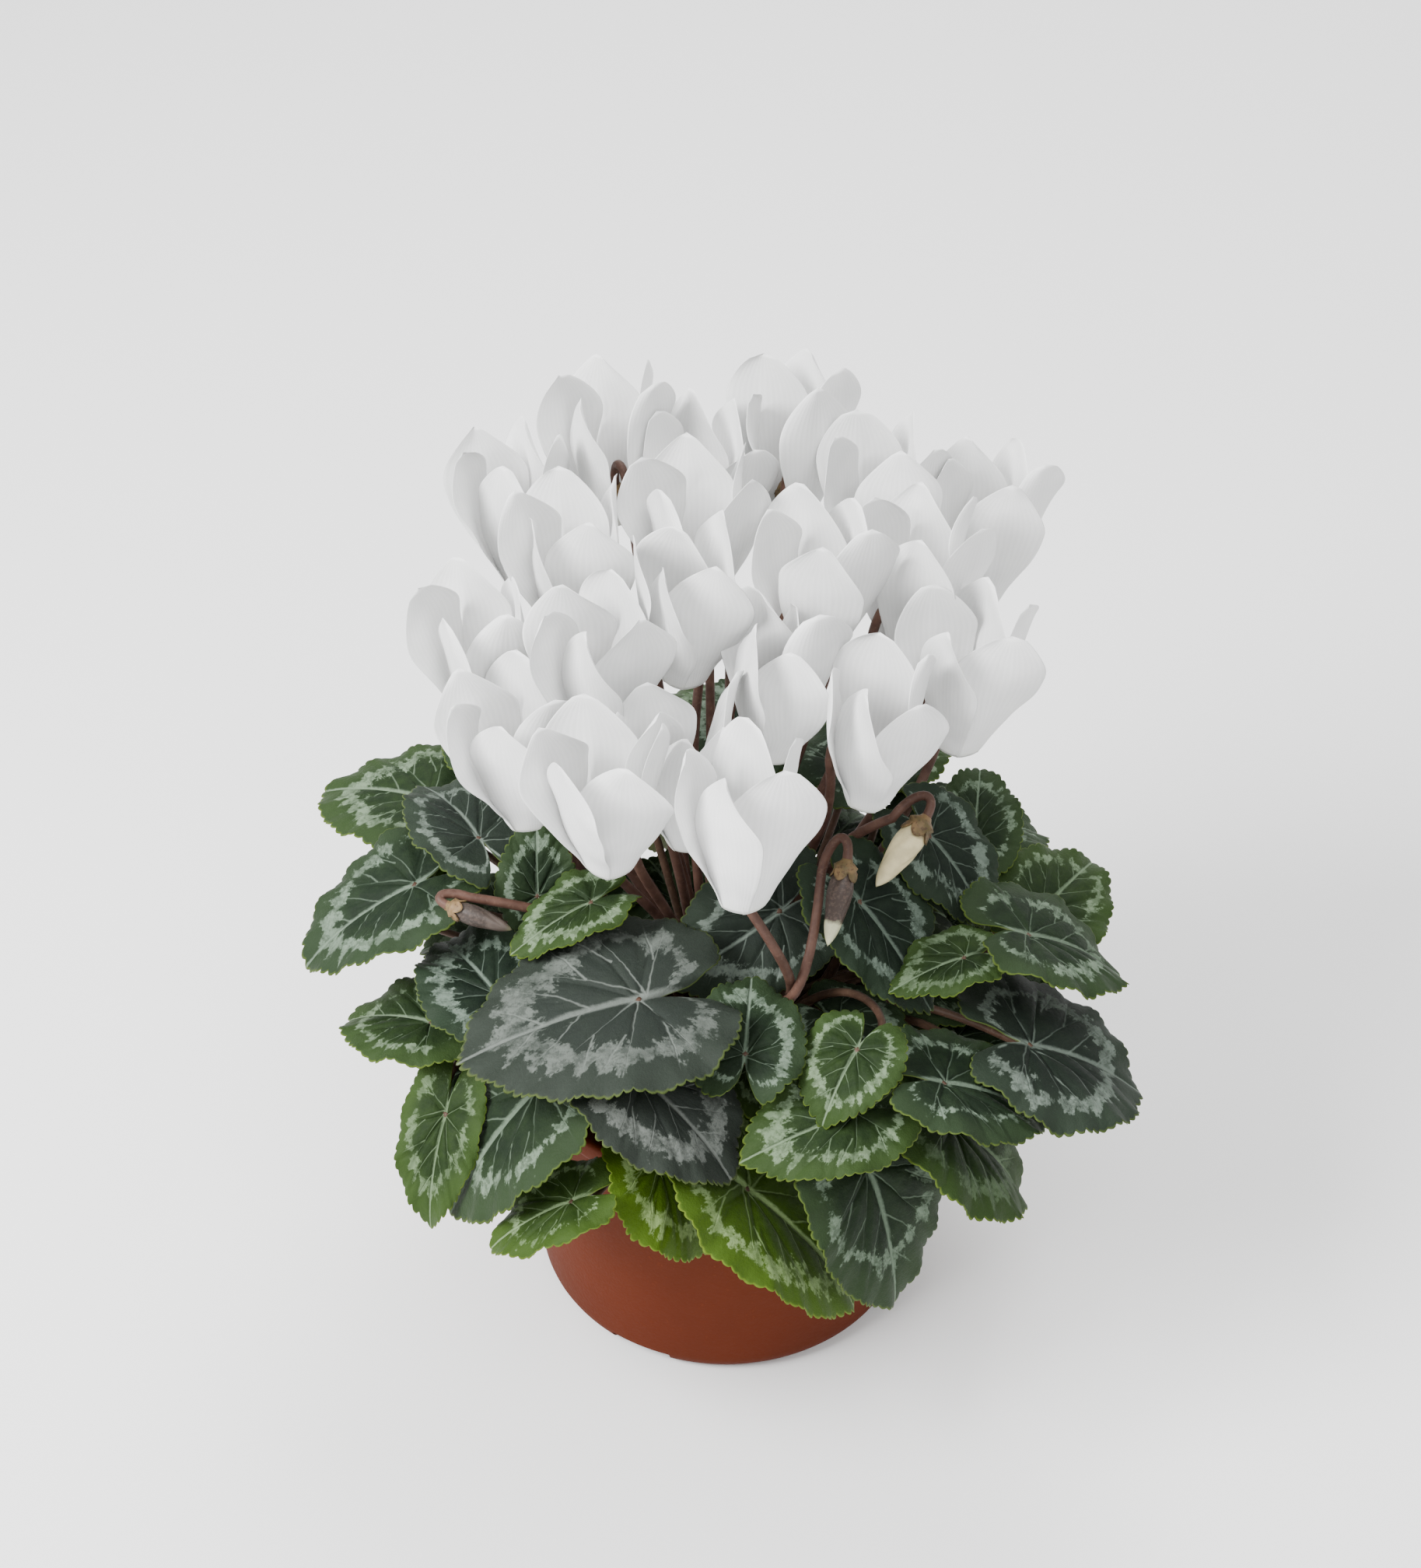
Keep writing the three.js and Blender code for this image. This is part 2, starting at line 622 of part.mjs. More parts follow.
// A whole bloom as one skin: each petal grows out of a side of the tube's rim.
function bloomSolid(flower) {
  const { frame, bends } = flower;
  const points = [];
  const faces = [];
  const add = (point) => points.push(point) - 1;
  const ring = ([radius, height]) => {
    const indices = [];
    for (let petal = 0; petal < bloom.petals; petal += 1) {
      for (const edge of [-bloom.rootAngle, bloom.rootAngle]) {
        const bearing = (petalBearing(flower, petal) + edge) * degrees;
        indices.push(add(sum(frame.mouth, [frame.out, radius * Math.cos(bearing)],
          [frame.side, radius * Math.sin(bearing)], [frame.axis, height])));
      }
    }
    return indices;
  };
  const band = (low, high, from, to) => {
    faces.push([low[from], low[to], high[to]], [low[from], high[to], high[from]]);
  };
  const hollow = add(sum(frame.mouth, [frame.axis, bloom.throatDepth]));
  const lip = ring(bloom.lip);
  const rim = ring(bloom.rim);
  const neck = ring([bloom.neckRadius, bloom.calyxSeat]);
  const seat = add(sum(frame.mouth, [frame.axis, bloom.calyxSeat]));
  lip.forEach((from, i) => {
    const next = (i + 1) % lip.length;
    faces.push([lip[next], from, hollow], [neck[i], neck[next], seat]);
    band(rim, neck, i, next);
    if (i % 2 === 1) {
      band(lip, rim, i, next);
    }
  });
  for (let petal = 0; petal < bloom.petals; petal += 1) {
    const row = (station, lift) => [-1, 1].map((aside) => (
      add(petalPoint(frame, flower, petal, bends[petal], station, aside, lift))));
    const side = bloom.petalThickness / 2;
    let outer = [lip[petal * 2], lip[petal * 2 + 1]];
    let inner = [rim[petal * 2], rim[petal * 2 + 1]];
    for (const station of petalStations.slice(1, -1)) {
      const [nextOuter, nextInner] = [row(station, side), row(station, -side)];
      band(outer, nextOuter, 0, 1);
      band(inner, nextInner, 1, 0);
      faces.push([outer[1], inner[1], nextInner[1]], [outer[1], nextInner[1], nextOuter[1]]);
      faces.push([outer[0], nextInner[0], inner[0]], [outer[0], nextOuter[0], nextInner[0]]);
      [outer, inner] = [nextOuter, nextInner];
    }
    const [tipOuter, tipInner] = [side, -side].map((lift) => (
      add(petalPoint(frame, flower, petal, bends[petal], petalStations.at(-1), 0, lift))));
    faces.push([outer[0], outer[1], tipOuter], [inner[1], inner[0], tipInner]);
    faces.push([outer[1], inner[1], tipInner], [outer[1], tipInner, tipOuter]);
    faces.push([outer[0], tipInner, inner[0]], [outer[0], tipOuter, tipInner]);
  }
  return solidFrom(points, faces);
}

// A long rise and a short hook as one path, with even steps along each.
class RiseAndHook extends THREE.Curve {
  constructor(rise, hook, riseSteps, hookSteps) {
    super();
    this.parts = [rise, hook];
    this.turn = riseSteps / (riseSteps + hookSteps);
  }

  partAt(share) {
    const [rise, hook] = this.parts;
    return share <= this.turn ? [rise, share / this.turn] : [hook, (share - this.turn) / (1 - this.turn)];
  }

  getPointAt(share) {
    const [part, along] = this.partAt(share);
    return part.getPoint(along);
  }

  getTangentAt(share) {
    const [part, along] = this.partAt(share);
    return part.getTangent(along);
  }
}

// The stalk of a bloom or bud: up beside it on the plant's inner side, over in a hook and down to its calyx.
function flowerStalk(frame, reach, seat, topRise, bend, rootRadius, extra = 0) {
  const inward = sum(frame.out, [frame.out, -2]);
  const joint = sum(frame.mouth, [inward, reach], [frame.axis, seat - 3]);
  const bearing = Math.atan2(joint.y, joint.x) / degrees;
  const root = crownPoint(bearing + bend.turn, rootRadius);
  const side = around(bearing + 90);
  const rise = new THREE.CubicBezierCurve3(
    root,
    sum(root, [up, bend.rise], [side, bend.sway]),
    sum(joint, [frame.axis, -bend.reach], [side, bend.sway], [inward, bend.draw]),
    joint,
  );
  const hook = new THREE.CubicBezierCurve3(
    joint,
    sum(joint, [frame.axis, topRise]),
    sum(frame.mouth, [frame.axis, seat + topRise]),
    sum(frame.mouth, [frame.axis, seat + gap]),
  );
  return stem(new RiseAndHook(rise, hook, 4, 4), bloom.stalkRadius + extra, 8);
}

// A bud: a plump spindle with a pointed tip, hanging from its calyx.
function budSolid(bud, extra = 0) {
  const seat = vector(bud.seat);
  const along = vector(bud.tip).sub(seat);
  const length = along.length();
  return turnedAlong([
    [0, 0],
    [bud.radius * 0.7 + extra, 0],
    [bud.radius + extra, length * 0.25],
    [bud.radius * 0.8 + extra, length * 0.6],
    [bud.radius * 0.3 + extra, length * 0.92],
    [0, length + 2 * extra],
  ], 8, seat, along);
}

function budFrame(bud) {
  const seat = vector(bud.seat);
  const axis = seat.clone().sub(vector(bud.tip)).normalize();
  const away = seat.clone().sub(flowerHeart).setZ(0).normalize();
  const out = sum(away, [axis, -away.dot(axis)]).normalize();
  return { mouth: seat, axis, out, side: axis.clone().cross(out) };
}

// The whole plant, grown in order: blades, fans, flower tubes, buds, flower stalks, petals, leaf stalks.
const group = new THREE.Group();

function addPiece(name, solid, material) {
  const mesh = new THREE.Mesh(geometryOf(solid), material);
  mesh.name = name;
  group.add(mesh);
}

function numbered(name, index) {
  return `${name}_${String(index + 1).padStart(2, '0')}`;
}

const leafWays = mixes({
  slide: [0, 1.5, -1.5, 3, -3, 4.5, -4.5, 6, -6, 7.5, 9, 10.5, 12],
  roll: [0, 7, -7, 14, -14, 21, -21],
  tilt: [0, 7, -7, 14, -14],
});
const petioleBends = mixes({
  sway: [0, 7, -7, 14, -14, 21, -21, 28, -28, 36, -36],
  reach: [14, 22, 8, 32],
  rise: [30, 45, 18, 60],
  turn: [0, 10, -10, 20, -20],
});
const stalkBends = mixes({
  sway: [0, 8, -8, 16, -16, 24, -24],
  reach: [50, 35, 65],
  draw: [0, 9, -9, 18, -18],
  rise: [60, 35],
  turn: [0, 14, -14, 28, -28],
});
const petalBends = mixes({
  lean: [0, -5, 5, -10, 10, -15, -20],
  turn: [0, 6, -6, 12, -12, 18],
  twist: [0, 16, -16, 32, -32],
  size: [1, 0.88],
});

stand(potSpace(), 'pot');
stand(soilSpace(), 'soil');

function growBlade(leaf, name) {
  leaf.name = name;
  leaf.way = bentClear(leafWays, (way) => bladeSolid(leaf, way), []);
  leaf.solid = cutClear(bladeSolid(leaf, leaf.way), [name]);
  leaf.space = bladeSolid(leaf, leaf.way, 2 * gap);
  stand(leaf.space, name);
}

leaves.forEach((leaf, i) => {
  leaf.rimPoints = blade.rimPoints;
  leaf.phase = 2 * Math.PI * spread(i);
  growBlade(leaf, numbered('leaf', i));
});

fans.forEach((fan, f) => {
  fan.leaves = fan.blades.map((part, k) => {
    const out = around(fan.bearing + part.turn);
    const attach = sum(new THREE.Vector3(0, 0, part.height), [out, part.out]);
    const droop = part.droop * degrees;
    const tip = sum(attach, [out, part.length * Math.cos(droop)], [up, -part.length * Math.sin(droop)]);
    const leaf = { attach: attach.toArray(), tip: tip.toArray(), width: part.width };
    leaf.rimPoints = blade.fanRimPoints;
    leaf.phase = 2 * Math.PI * spread(f * backBlades.length + k, 0.37);
    growBlade(leaf, fan.name);
    return leaf;
  });
});

for (const fan of fans) {
  const root = crownPoint(fan.bearing, fanRoot);
  const knob = (extra) => turnedAlong([
    [0, -2 - extra],
    [3 + extra, -2 - extra],
    [3 + extra, 4 + extra],
    [0, 5 + extra],
  ], 6, root, up);
  const parts = [knob(0)];
  fan.space = knob(gap);
  for (const leaf of fan.leaves) {
    const make = (bend, extra = 0) => (
      stem(petiolePath(leaf, leaf.way, bend, 0, root), petiole.radius + extra, petiole.steps));
    const bend = bentClear(petioleBends, make, [fan.name]);
    parts.push(cutClear(make(bend), [fan.name]), leaf.solid);
    stand(make(bend, gap), fan.name);
  }
  stand(fan.space, fan.name);
  fan.solid = oneBody(joined(parts));
}

blooms.forEach((flower, i) => {
  flower.name = numbered('bloom', i);
  flower.spin = 12 * spread(i);
  flower.flare = 3 * spread(i, 0.41);
  flower.frame = bloomFrame(flower);
  flower.reach = Math.hypot(flower.mouth[0] - flowerHeart.x, flower.mouth[1] - flowerHeart.y);
  stand(corollaTube(flower.frame, gap), flower.name);
});

for (const bud of buds) {
  bud.solid = budSolid(bud);
  stand(budSolid(bud, gap), bud.name);
}

const stalks = [];
function growStalk(name, frame, reach, seat, topRise, rootRadius) {
  const make = (bend, extra) => flowerStalk(frame, reach, seat, topRise, bend, rootRadius, extra);
  const bend = bentClear(stalkBends, make, [name]);
  stalks.push(cutClear(make(bend), [name, 'stalks']));
  stand(make(bend, gap), 'stalks');
}

const inwardFirst = [...blooms].sort((one, other) => one.reach - other.reach);
inwardFirst.forEach((flower, rank) => {
  const rootRadius = bloom.crownRadii[bloom.ringEnds.findIndex((end) => rank < end)];
  growStalk(flower.name, flower.frame, bloom.hookReach, bloom.calyxSeat, bloom.hookRise, rootRadius);
});
for (const bud of buds) {
  growStalk(bud.name, budFrame(bud), bud.reach, 0, bud.rise, bloom.crownRadii.at(-1));
}

for (const flower of blooms) {
  const own = [flower.name, `${flower.name} petal`];
  flower.bends = [];
  for (let petal = 0; petal < bloom.petals; petal += 1) {
    const make = (bend, extra) => petalSolid(flower.frame, flower, petal, bend, extra);
    const bend = bentClear(petalBends, make, [flower.name]);
    flower.bends.push(bend);
    stand(make(bend, 2 * gap), `${flower.name} petal`);
  }
  flower.solid = cutClear(bloomSolid(flower), own);
}

leaves.forEach((leaf, i) => {
  const make = (bend) => {
    const root = petioleRoot(leaf, bend, petiole.crownRadii[i % 2]);
    return stem(petiolePath(leaf, leaf.way, bend, petiole.standOff, root), petiole.radius, petiole.steps);
  };
  const bend = bentClear(petioleBends, make, [leaf.name]);
  stand(make(bend), 'stalks');
  stalks.push(cutClear(make(bend), ['stalks']));
});

let tuberBody = tuberSolid();
for (const fan of fans) {
  tuberBody = tuberBody.subtract(fan.space);
}

addPiece('pot', potSolid(), materials.pot);
addPiece('soil', soilSolid(), materials.soil);
addPiece('tuber_with_stalks', oneBody(joined([tuberBody, ...stalks])), materials.stalk);
for (const flower of blooms) {
  addPiece(flower.name, flower.solid, materials.petal);
}
for (const bud of buds) {
  addPiece(bud.name, bud.solid, materials.bud);
}
for (const leaf of leaves) {
  addPiece(leaf.name, leaf.solid, materials.leaf);
}
for (const fan of fans) {
  addPiece(fan.name, fan.solid, materials.leaf);
}

export default group;
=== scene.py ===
import itertools
import math

import bmesh
import bpy
import numpy as np
from mathutils import Matrix, Vector, noise


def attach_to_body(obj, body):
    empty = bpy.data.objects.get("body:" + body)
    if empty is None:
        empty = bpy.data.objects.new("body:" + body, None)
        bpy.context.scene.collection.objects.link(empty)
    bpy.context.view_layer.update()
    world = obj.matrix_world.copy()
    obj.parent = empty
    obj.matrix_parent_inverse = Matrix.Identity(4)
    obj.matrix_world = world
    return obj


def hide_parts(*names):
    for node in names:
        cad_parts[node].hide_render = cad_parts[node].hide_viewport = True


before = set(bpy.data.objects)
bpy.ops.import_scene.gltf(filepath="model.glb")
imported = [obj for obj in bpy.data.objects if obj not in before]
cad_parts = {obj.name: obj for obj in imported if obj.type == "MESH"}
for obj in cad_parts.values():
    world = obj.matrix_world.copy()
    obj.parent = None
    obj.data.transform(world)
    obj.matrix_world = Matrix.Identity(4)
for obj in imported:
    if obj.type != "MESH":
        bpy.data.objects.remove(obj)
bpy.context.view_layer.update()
mm = 0.001
weld = 2e-6   # metres: corners closer than this become one



def inScene(name, data):
    made = bpy.data.objects.new(name, data)
    bpy.context.scene.collection.objects.link(made)
    return made


# camera and light


def lookFrom(place, tilt, lens):
    eye = bpy.data.cameras.new("eye")
    eye.lens = lens
    eye.sensor_width = 36
    camera = inScene("eye", eye)
    camera.location = place
    camera.rotation_euler = (math.radians(tilt), 0, 0)
    bpy.context.scene.camera = camera


def softBox(name, place, aim, size, power):
    lamp = bpy.data.lights.new(name, "AREA")
    lamp.shape = "DISK"
    lamp.size = size
    lamp.energy = power
    box = inScene(name, lamp)
    box.location = place
    box.rotation_euler = (Vector(aim) - Vector(place)).to_track_quat("-Z", "Y").to_euler()


studio = {
    "eye": (-0.0047, -0.660, 0.758),   # where the photo was taken from, in metres
    "tilt": 49.4,                      # 0 looks straight down
    "lens": 69.64,
    "sky": (1.0, 1.0, 1.0),
    "skyStrength": 0.9,
    "floor": (0.86, 0.86, 0.86),
    "floorSize": 20,
    "lamps": [                         # name, place, aim, size in metres, power in watts
        ("keyBox", (-1.0, -0.5, 1.2), (0, 0, 0.18), 0.8, 56),
        ("fillBox", (0.3, -0.9, 1.5), (0, 0, 0.2), 1.0, 15),
        ("backBox", (0.2, 1.0, 1.5), (0, 0, 0.2), 0.9, 24),
    ],
}
lookFrom(studio["eye"], studio["tilt"], studio["lens"])
for lampSetting in studio["lamps"]:
    softBox(*lampSetting)
world = bpy.data.worlds.new("studioSky")
world.use_nodes = True
world.node_tree.nodes["Background"].inputs["Color"].default_value = (*studio["sky"], 1)
world.node_tree.nodes["Background"].inputs["Strength"].default_value = studio["skyStrength"]
bpy.context.scene.world = world
print("camera and light set")

# shader sums


class Wire:  # one socket of a finish; sums on it add their own Math nodes
    def __init__(self, finish, socket):
        self.finish, self.socket = finish, socket

    def math(self, operation, *values):
        return self.finish.node("ShaderNodeMath", {"operation": operation}, dict(enumerate(values)))

    def __add__(self, other):
        return self.math("ADD", self, other)

    __radd__ = __add__

    def __sub__(self, other):
        return self.math("SUBTRACT", self, other)

    def __rsub__(self, other):
        return self.math("SUBTRACT", other, self)

    def __mul__(self, other):
        return self.math("MULTIPLY", self, other)

    __rmul__ = __mul__

    def __pow__(self, other):
        return self.math("POWER", self, other)

    def __abs__(self):
        return self.math("ABSOLUTE", self)

    def sine(self):
        return self.math("SINE", self)

    def most(self, other):
        return self.math("MAXIMUM", self, other)

    def step(self, low, high):  # 0 below low, 1 above high, soft between
        ends = {"Value": self, "From Min": low, "From Max": high}
        return self.finish.node("ShaderNodeMapRange", {"interpolation_type": "SMOOTHSTEP"}, ends)


class Finish:
    def __init__(self, name, constants):
        self.material = bpy.data.materials.new(name)
        self.material.use_nodes = True
        self.tree = self.material.node_tree
        self.skin = self.tree.nodes["Principled BSDF"]
        for socket, value in constants.items():
            self.skin.inputs[socket].default_value = value

    def node(self, kind, settings, inputs, output=0):
        made = self.tree.nodes.new(kind)
        for key, value in settings.items():
            setattr(made, key, value)
        for key, value in inputs.items():
            if isinstance(value, Wire):
                self.tree.links.new(value.socket, made.inputs[key])
            else:
                made.inputs[key].default_value = value
        return Wire(self, made.outputs[output])

    def mark(self, name):
        return self.node("ShaderNodeAttribute", {"attribute_name": name}, {}, "Fac")

    def place(self):
        return self.node("ShaderNodeTexCoord", {}, {}, "Object")

    def blend(self, share, first, second):
        first, second = [c if isinstance(c, Wire) else (*c, 1) for c in (first, second)]
        return self.node("ShaderNodeMix", {"data_type": "RGBA"}, {0: share, 6: first, 7: second}, 2)

    def grain(self, scale, detail=3.0, roughness=0.55, place=None):
        values = {"Vector": place or self.place(), "Scale": scale, "Detail": detail, "Roughness": roughness}
        return self.node("ShaderNodeTexNoise", {}, values, "Fac")

    def feed(self, socket, wire):
        self.tree.links.new(wire.socket, self.skin.inputs[socket])

    def relief(self, height, strength, distance):
        values = {"Strength": strength, "Distance": distance, "Height": height}
        self.feed("Normal", self.node("ShaderNodeBump", {}, values, "Normal"))


# meshes: closed shells, each lofted through its rings


def meshObject(name, mesh):
    data = bpy.data.meshes.new(name)
    mesh.to_mesh(data)
    mesh.free()
    return inScene(name, data)


class Shells:
    def __init__(self, *marks):
        self.mesh = bmesh.new()
        self.marks = {mark: self.mesh.verts.layers.float.new(mark) for mark in marks}

    def loft(self, rings, slot=0, **marks):  # rows by columns by 3, in millimetres, first column again last
        rows, columns = rings.shape[:2]
        verts = bmesh.ops.create_grid(self.mesh, x_segments=columns - 1, y_segments=rows - 1, size=1)["verts"]
        for vert, place in zip(verts, (rings.reshape(-1, 3) * mm).tolist()):
            vert.co = place
        for mark, values in marks.items():
            layer = self.marks[mark]
            for vert, value in zip(verts, np.broadcast_to(values, (rows, columns)).ravel().tolist()):
                vert[layer] = value
        faces = list({face for vert in verts for face in vert.link_faces})
        for face in faces:
            face.smooth = True
            face.material_index = slot
        bmesh.ops.remove_doubles(self.mesh, verts=verts, dist=weld)
        bmesh.ops.recalc_face_normals(self.mesh, faces=[face for face in faces if face.is_valid])

    def piece(self, name, finishes, replaced):
        made = meshObject(name, self.mesh)
        for finish in finishes:
            made.data.materials.append(finish.material)
        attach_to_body(made, "root")
        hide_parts(*replaced)


def roundRings(reach, angles, up):
    return np.stack([reach * np.cos(angles), reach * np.sin(angles), up * np.ones_like(reach)], axis=-1)


def turnedRings(profile, sides, flute=None):  # profile: (radius, height) from one pole to the other
    angles = np.linspace(0, 2 * math.pi, sides + 1)
    radius, height = np.array(profile, float).T[:, :, None]
    reach = radius * np.ones_like(angles)
    if flute is not None:
        reach = reach * flute(angles, height)
    return roundRings(reach, angles, height)


def onFlower(rings, owner):  # turned rings moved into a flower's own frame
    return owner["mouth"] + rings @ np.array([owner["out"], owner["side"], owner["axis"]])


def tubeRings(points, radii, sides):
    points = np.array(points)
    tangents = unit(np.gradient(points, axis=0))
    side = unit(np.cross(tangents[0], [0.3, 1.0, 0.2]))
    angles = np.linspace(0, 2 * math.pi, sides + 1)
    rings = [np.repeat(points[:1], sides + 1, axis=0)]
    for point, tangent, radius in zip(points, tangents, radii):
        side = unit(side - tangent * side.dot(tangent))
        other = np.cross(tangent, side)
        rings.append(point + radius * (np.cos(angles)[:, None] * side + np.sin(angles)[:, None] * other))
    rings.append(np.repeat(points[-1:], sides + 1, axis=0))
    return np.array(rings)


# the plant's own geometry, as in the solids

upward = np.array([0.0, 0.0, 1.0])


def unit(v):
    return v / np.linalg.norm(v, axis=-1, keepdims=True)


def around(bearing):
    return np.array([math.cos(math.radians(bearing)), math.sin(math.radians(bearing)), 0.0])


def bearingOf(v):
    return math.degrees(math.atan2(v[1], v[0]))


def turnedAbout(v, axis, angle):
    c, s = math.cos(math.radians(angle)), math.sin(math.radians(angle))
    return v * c + np.cross(axis, v) * s + axis * axis.dot(v) * (1 - c)


def spread(index, pace=0.618034):
    return (((index + 1) * pace) % 1) * 2 - 1


def bezier(a, b, c, d, t):
    t = np.asarray(t)[..., None]
    return a * (1 - t) ** 3 + 3 * b * t * (1 - t) ** 2 + 3 * c * t * t * (1 - t) + d * t ** 3


def evenly(points, shares):  # places at these shares of a line's length
    lengths = np.concatenate([[0], np.cumsum(np.linalg.norm(np.diff(points, axis=0), axis=1))])
    want = np.asarray(shares) * lengths[-1]
    return np.stack([np.interp(want, lengths, points[:, k]) for k in range(3)], axis=-1)


def mixes(settings):  # all the ways of bending, the smallest effort first
    ways = []
    for picked in itertools.product(*[list(enumerate(values)) for values in settings.values()]):
        effort = sum(rank for rank, value in picked)
        ways.append((effort, dict(zip(settings, [value for rank, value in picked]))))
    return [way for effort, way in sorted(ways, key=lambda pair: pair[0])]


def solidPoints(node):
    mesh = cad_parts[node].data
    points = np.empty(len(mesh.vertices) * 3, np.float32)
    mesh.vertices.foreach_get("co", points)
    return np.unique(np.round(points.reshape(-1, 3) / mm, 3), axis=0)


def nearness(points, cloud):
    return np.linalg.norm(points[:, None] - cloud[None], axis=-1).min(axis=1)


def onRing(points, radius, cloud):  # how many of the solid's corners lie on a stalk's section at these points
    off = np.abs(np.linalg.norm(points[:, None] - cloud[None], axis=-1) - radius)
    return np.minimum((off < ring["miss"]).sum(axis=1), ring["corners"]).sum()


ring = {"miss": 0.03, "corners": 4}   # how far off a corner may be, and how many of a ring count
plant = {"crown": np.array([0, 0, 94.5]), "flowerHeart": np.array([0, 8, 0]), "rootDepth": 3, "gap": 0.35}
tuber = {"radius": 24, "height": 25, "middle": 87}


def crownPoint(bearing, radius):
    height = tuber["middle"] + tuber["height"] / 2 * math.sqrt(1 - (radius / tuber["radius"]) ** 2)
    return around(bearing) * radius + upward * (height - plant["rootDepth"])


# pot

pot = {
    "height": 96, "rimRadius": 65, "wallTop": 61.5, "wallFoot": 59.5, "footRounding": 7.5, "flatRadius": 52,
    "wall": 1.6, "lip": 8, "notches": 4, "notchWidth": 20, "notchHeight": 6, "notchReach": 14,
    "firstNotch": -117, "holes": 4, "holeRadius": 3.5, "holeRing": 30, "sides": 144, "sideSteps": 8,
    "tones": ((0.084, 0.0135, 0.0018), (0.102, 0.0168, 0.0026)), "speckTone": (0.16, 0.036, 0.012),
    # the tone and height of the painted shade towards the foot are on the line below
    "paintedShadeTone": (0.050, 0.0075, 0.0016), "paintedShadeHeight": 0.06, "sharpFrom": 38,
}


def potFinish():
    clay = Finish("terracottaPlastic", {"Roughness": 0.65, "Specular IOR Level": 0.10})
    cloud = clay.grain(14, 3)
    speck = clay.grain(900, 2)
    tone = clay.blend(cloud.step(0.3, 0.7), *pot["tones"])
    tone = clay.blend(speck.step(0.62, 0.75) * 0.25, tone, pot["speckTone"])
    height = clay.node("ShaderNodeSeparateXYZ", {}, {0: clay.place()}, "Z")
    # painted shade: the clay's colour darkens towards the foot, where the pot stands in shade
    tone = clay.blend((1 - height.step(0.0, pot["paintedShadeHeight"])) * 0.45, tone, pot["paintedShadeTone"])
    clay.feed("Base Color", tone)
    clay.feed("Roughness", 0.6 + speck * 0.15)
    clay.relief(speck + clay.grain(160, 2) * 2, 0.12, 0.0006)
    return clay


def turnedBody(name, profile, sides):
    shell = Shells()
    shell.loft(turnedRings(profile, sides))
    return meshObject(name, shell.mesh)


def notchBody(bearing, width, height, reach):
    box = bmesh.new()
    bmesh.ops.create_cube(box, size=1)
    inner = pot["flatRadius"] + pot["footRounding"] - reach
    for vert in box.verts:
        x = pot["rimRadius"] if vert.co.x > 0 else inner
        y = math.copysign(width / 2, vert.co.y)
        z = height if vert.co.z > 0 else -1
        vert.co = Vector((x, y, z)) * mm
    turn = Matrix.Rotation(math.radians(bearing), 3, "Z")
    bmesh.ops.rotate(box, verts=box.verts, cent=(0, 0, 0), matrix=turn)
    return meshObject("notch", box)


def cutFrom(body, cutters):
    for cutter in cutters:
        cut = body.modifiers.new("cut", "BOOLEAN")
        cut.operation = "DIFFERENCE"
        cut.solver = "EXACT"
        cut.object = cutter
    bpy.context.view_layer.update()
    whole = bpy.data.meshes.new_from_object(body.evaluated_get(bpy.context.evaluated_depsgraph_get()))
    body.modifiers.clear()
    body.data = whole
    for cutter in cutters:
        bpy.data.objects.remove(cutter)


def makePot():
    top, rim, height, wall = pot["wallTop"], pot["rimRadius"], pot["height"], pot["wall"]
    foot, flat, turn = pot["wallFoot"], pot["flatRadius"], pot["footRounding"]
    lipFoot = height - pot["lip"]
    rounding = []
    for angle in range(0, 91, 10):
        a = math.radians(angle)
        rounding.append((flat + (foot - flat) * math.sin(a), turn * (1 - math.cos(a))))
    out, up = rounding[-1]
    steps = pot["sideSteps"]
    side = [(out + (top - out) * k / steps, up + (lipFoot - up) * k / steps) for k in range(1, steps)]
    lip = [(top, lipFoot), (top + 0.8, lipFoot + 0.1), (rim - 0.9, lipFoot + 0.5), (rim - 0.3, lipFoot + 1.1),
           (rim, lipFoot + 2.2), (rim, height - 1.8), (rim - 0.25, height - 0.9), (rim - 0.8, height - 0.3),
           (rim - 1.6, height)]
    inner = [(top - 0.9, height), (top - 1.6, height - 0.5), (top - 1.6, lipFoot)]
    floor = [(foot - wall, turn + 1), (foot - wall * 1.6, wall * 2.4), (flat, wall), (0, wall)]
    body = turnedBody("pot", [(0, 0), (20, 0), (40, 0), *rounding, *side, *lip, *inner, *floor], pot["sides"])
    cutters = []
    for i in range(pot["notches"]):
        bearing = pot["firstNotch"] + i * 360 / pot["notches"]
        cutters.append(notchBody(bearing, pot["notchWidth"], pot["notchHeight"], pot["notchReach"]))
    for i in range(pot["holes"]):
        place = around(pot["firstNotch"] + i * 360 / pot["holes"]) * pot["holeRing"]
        radius = pot["holeRadius"]
        hole = turnedBody("hole", [(0, -2), (radius, -2), (radius, 4), (0, 4)], 32)
        hole.data.transform(Matrix.Translation(place * mm))
        cutters.append(hole)
    cutFrom(body, cutters)
    return body


flowerPot = makePot()
flowerPot.name = "flowerPot"
potPaint = potFinish()
flowerPot.data.materials.clear()
flowerPot.data.materials.append(potPaint.material)
flowerPot.data.shade_smooth()
flowerPot.data.set_sharp_from_angle(angle=math.radians(pot["sharpFrom"]))
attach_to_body(flowerPot, "root")
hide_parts("pot")
print("pot made")

# compost

soil = {
    "top": 85, "underside": 2, "stepRadius": 43, "stepHeight": 8.3, "columns": 150, "rows": 34,
    "lumps": [(0.16, 3, 1.0), (0.45, 9, 0.6)], "lumpHeight": 1.6, "facets": 26,
}


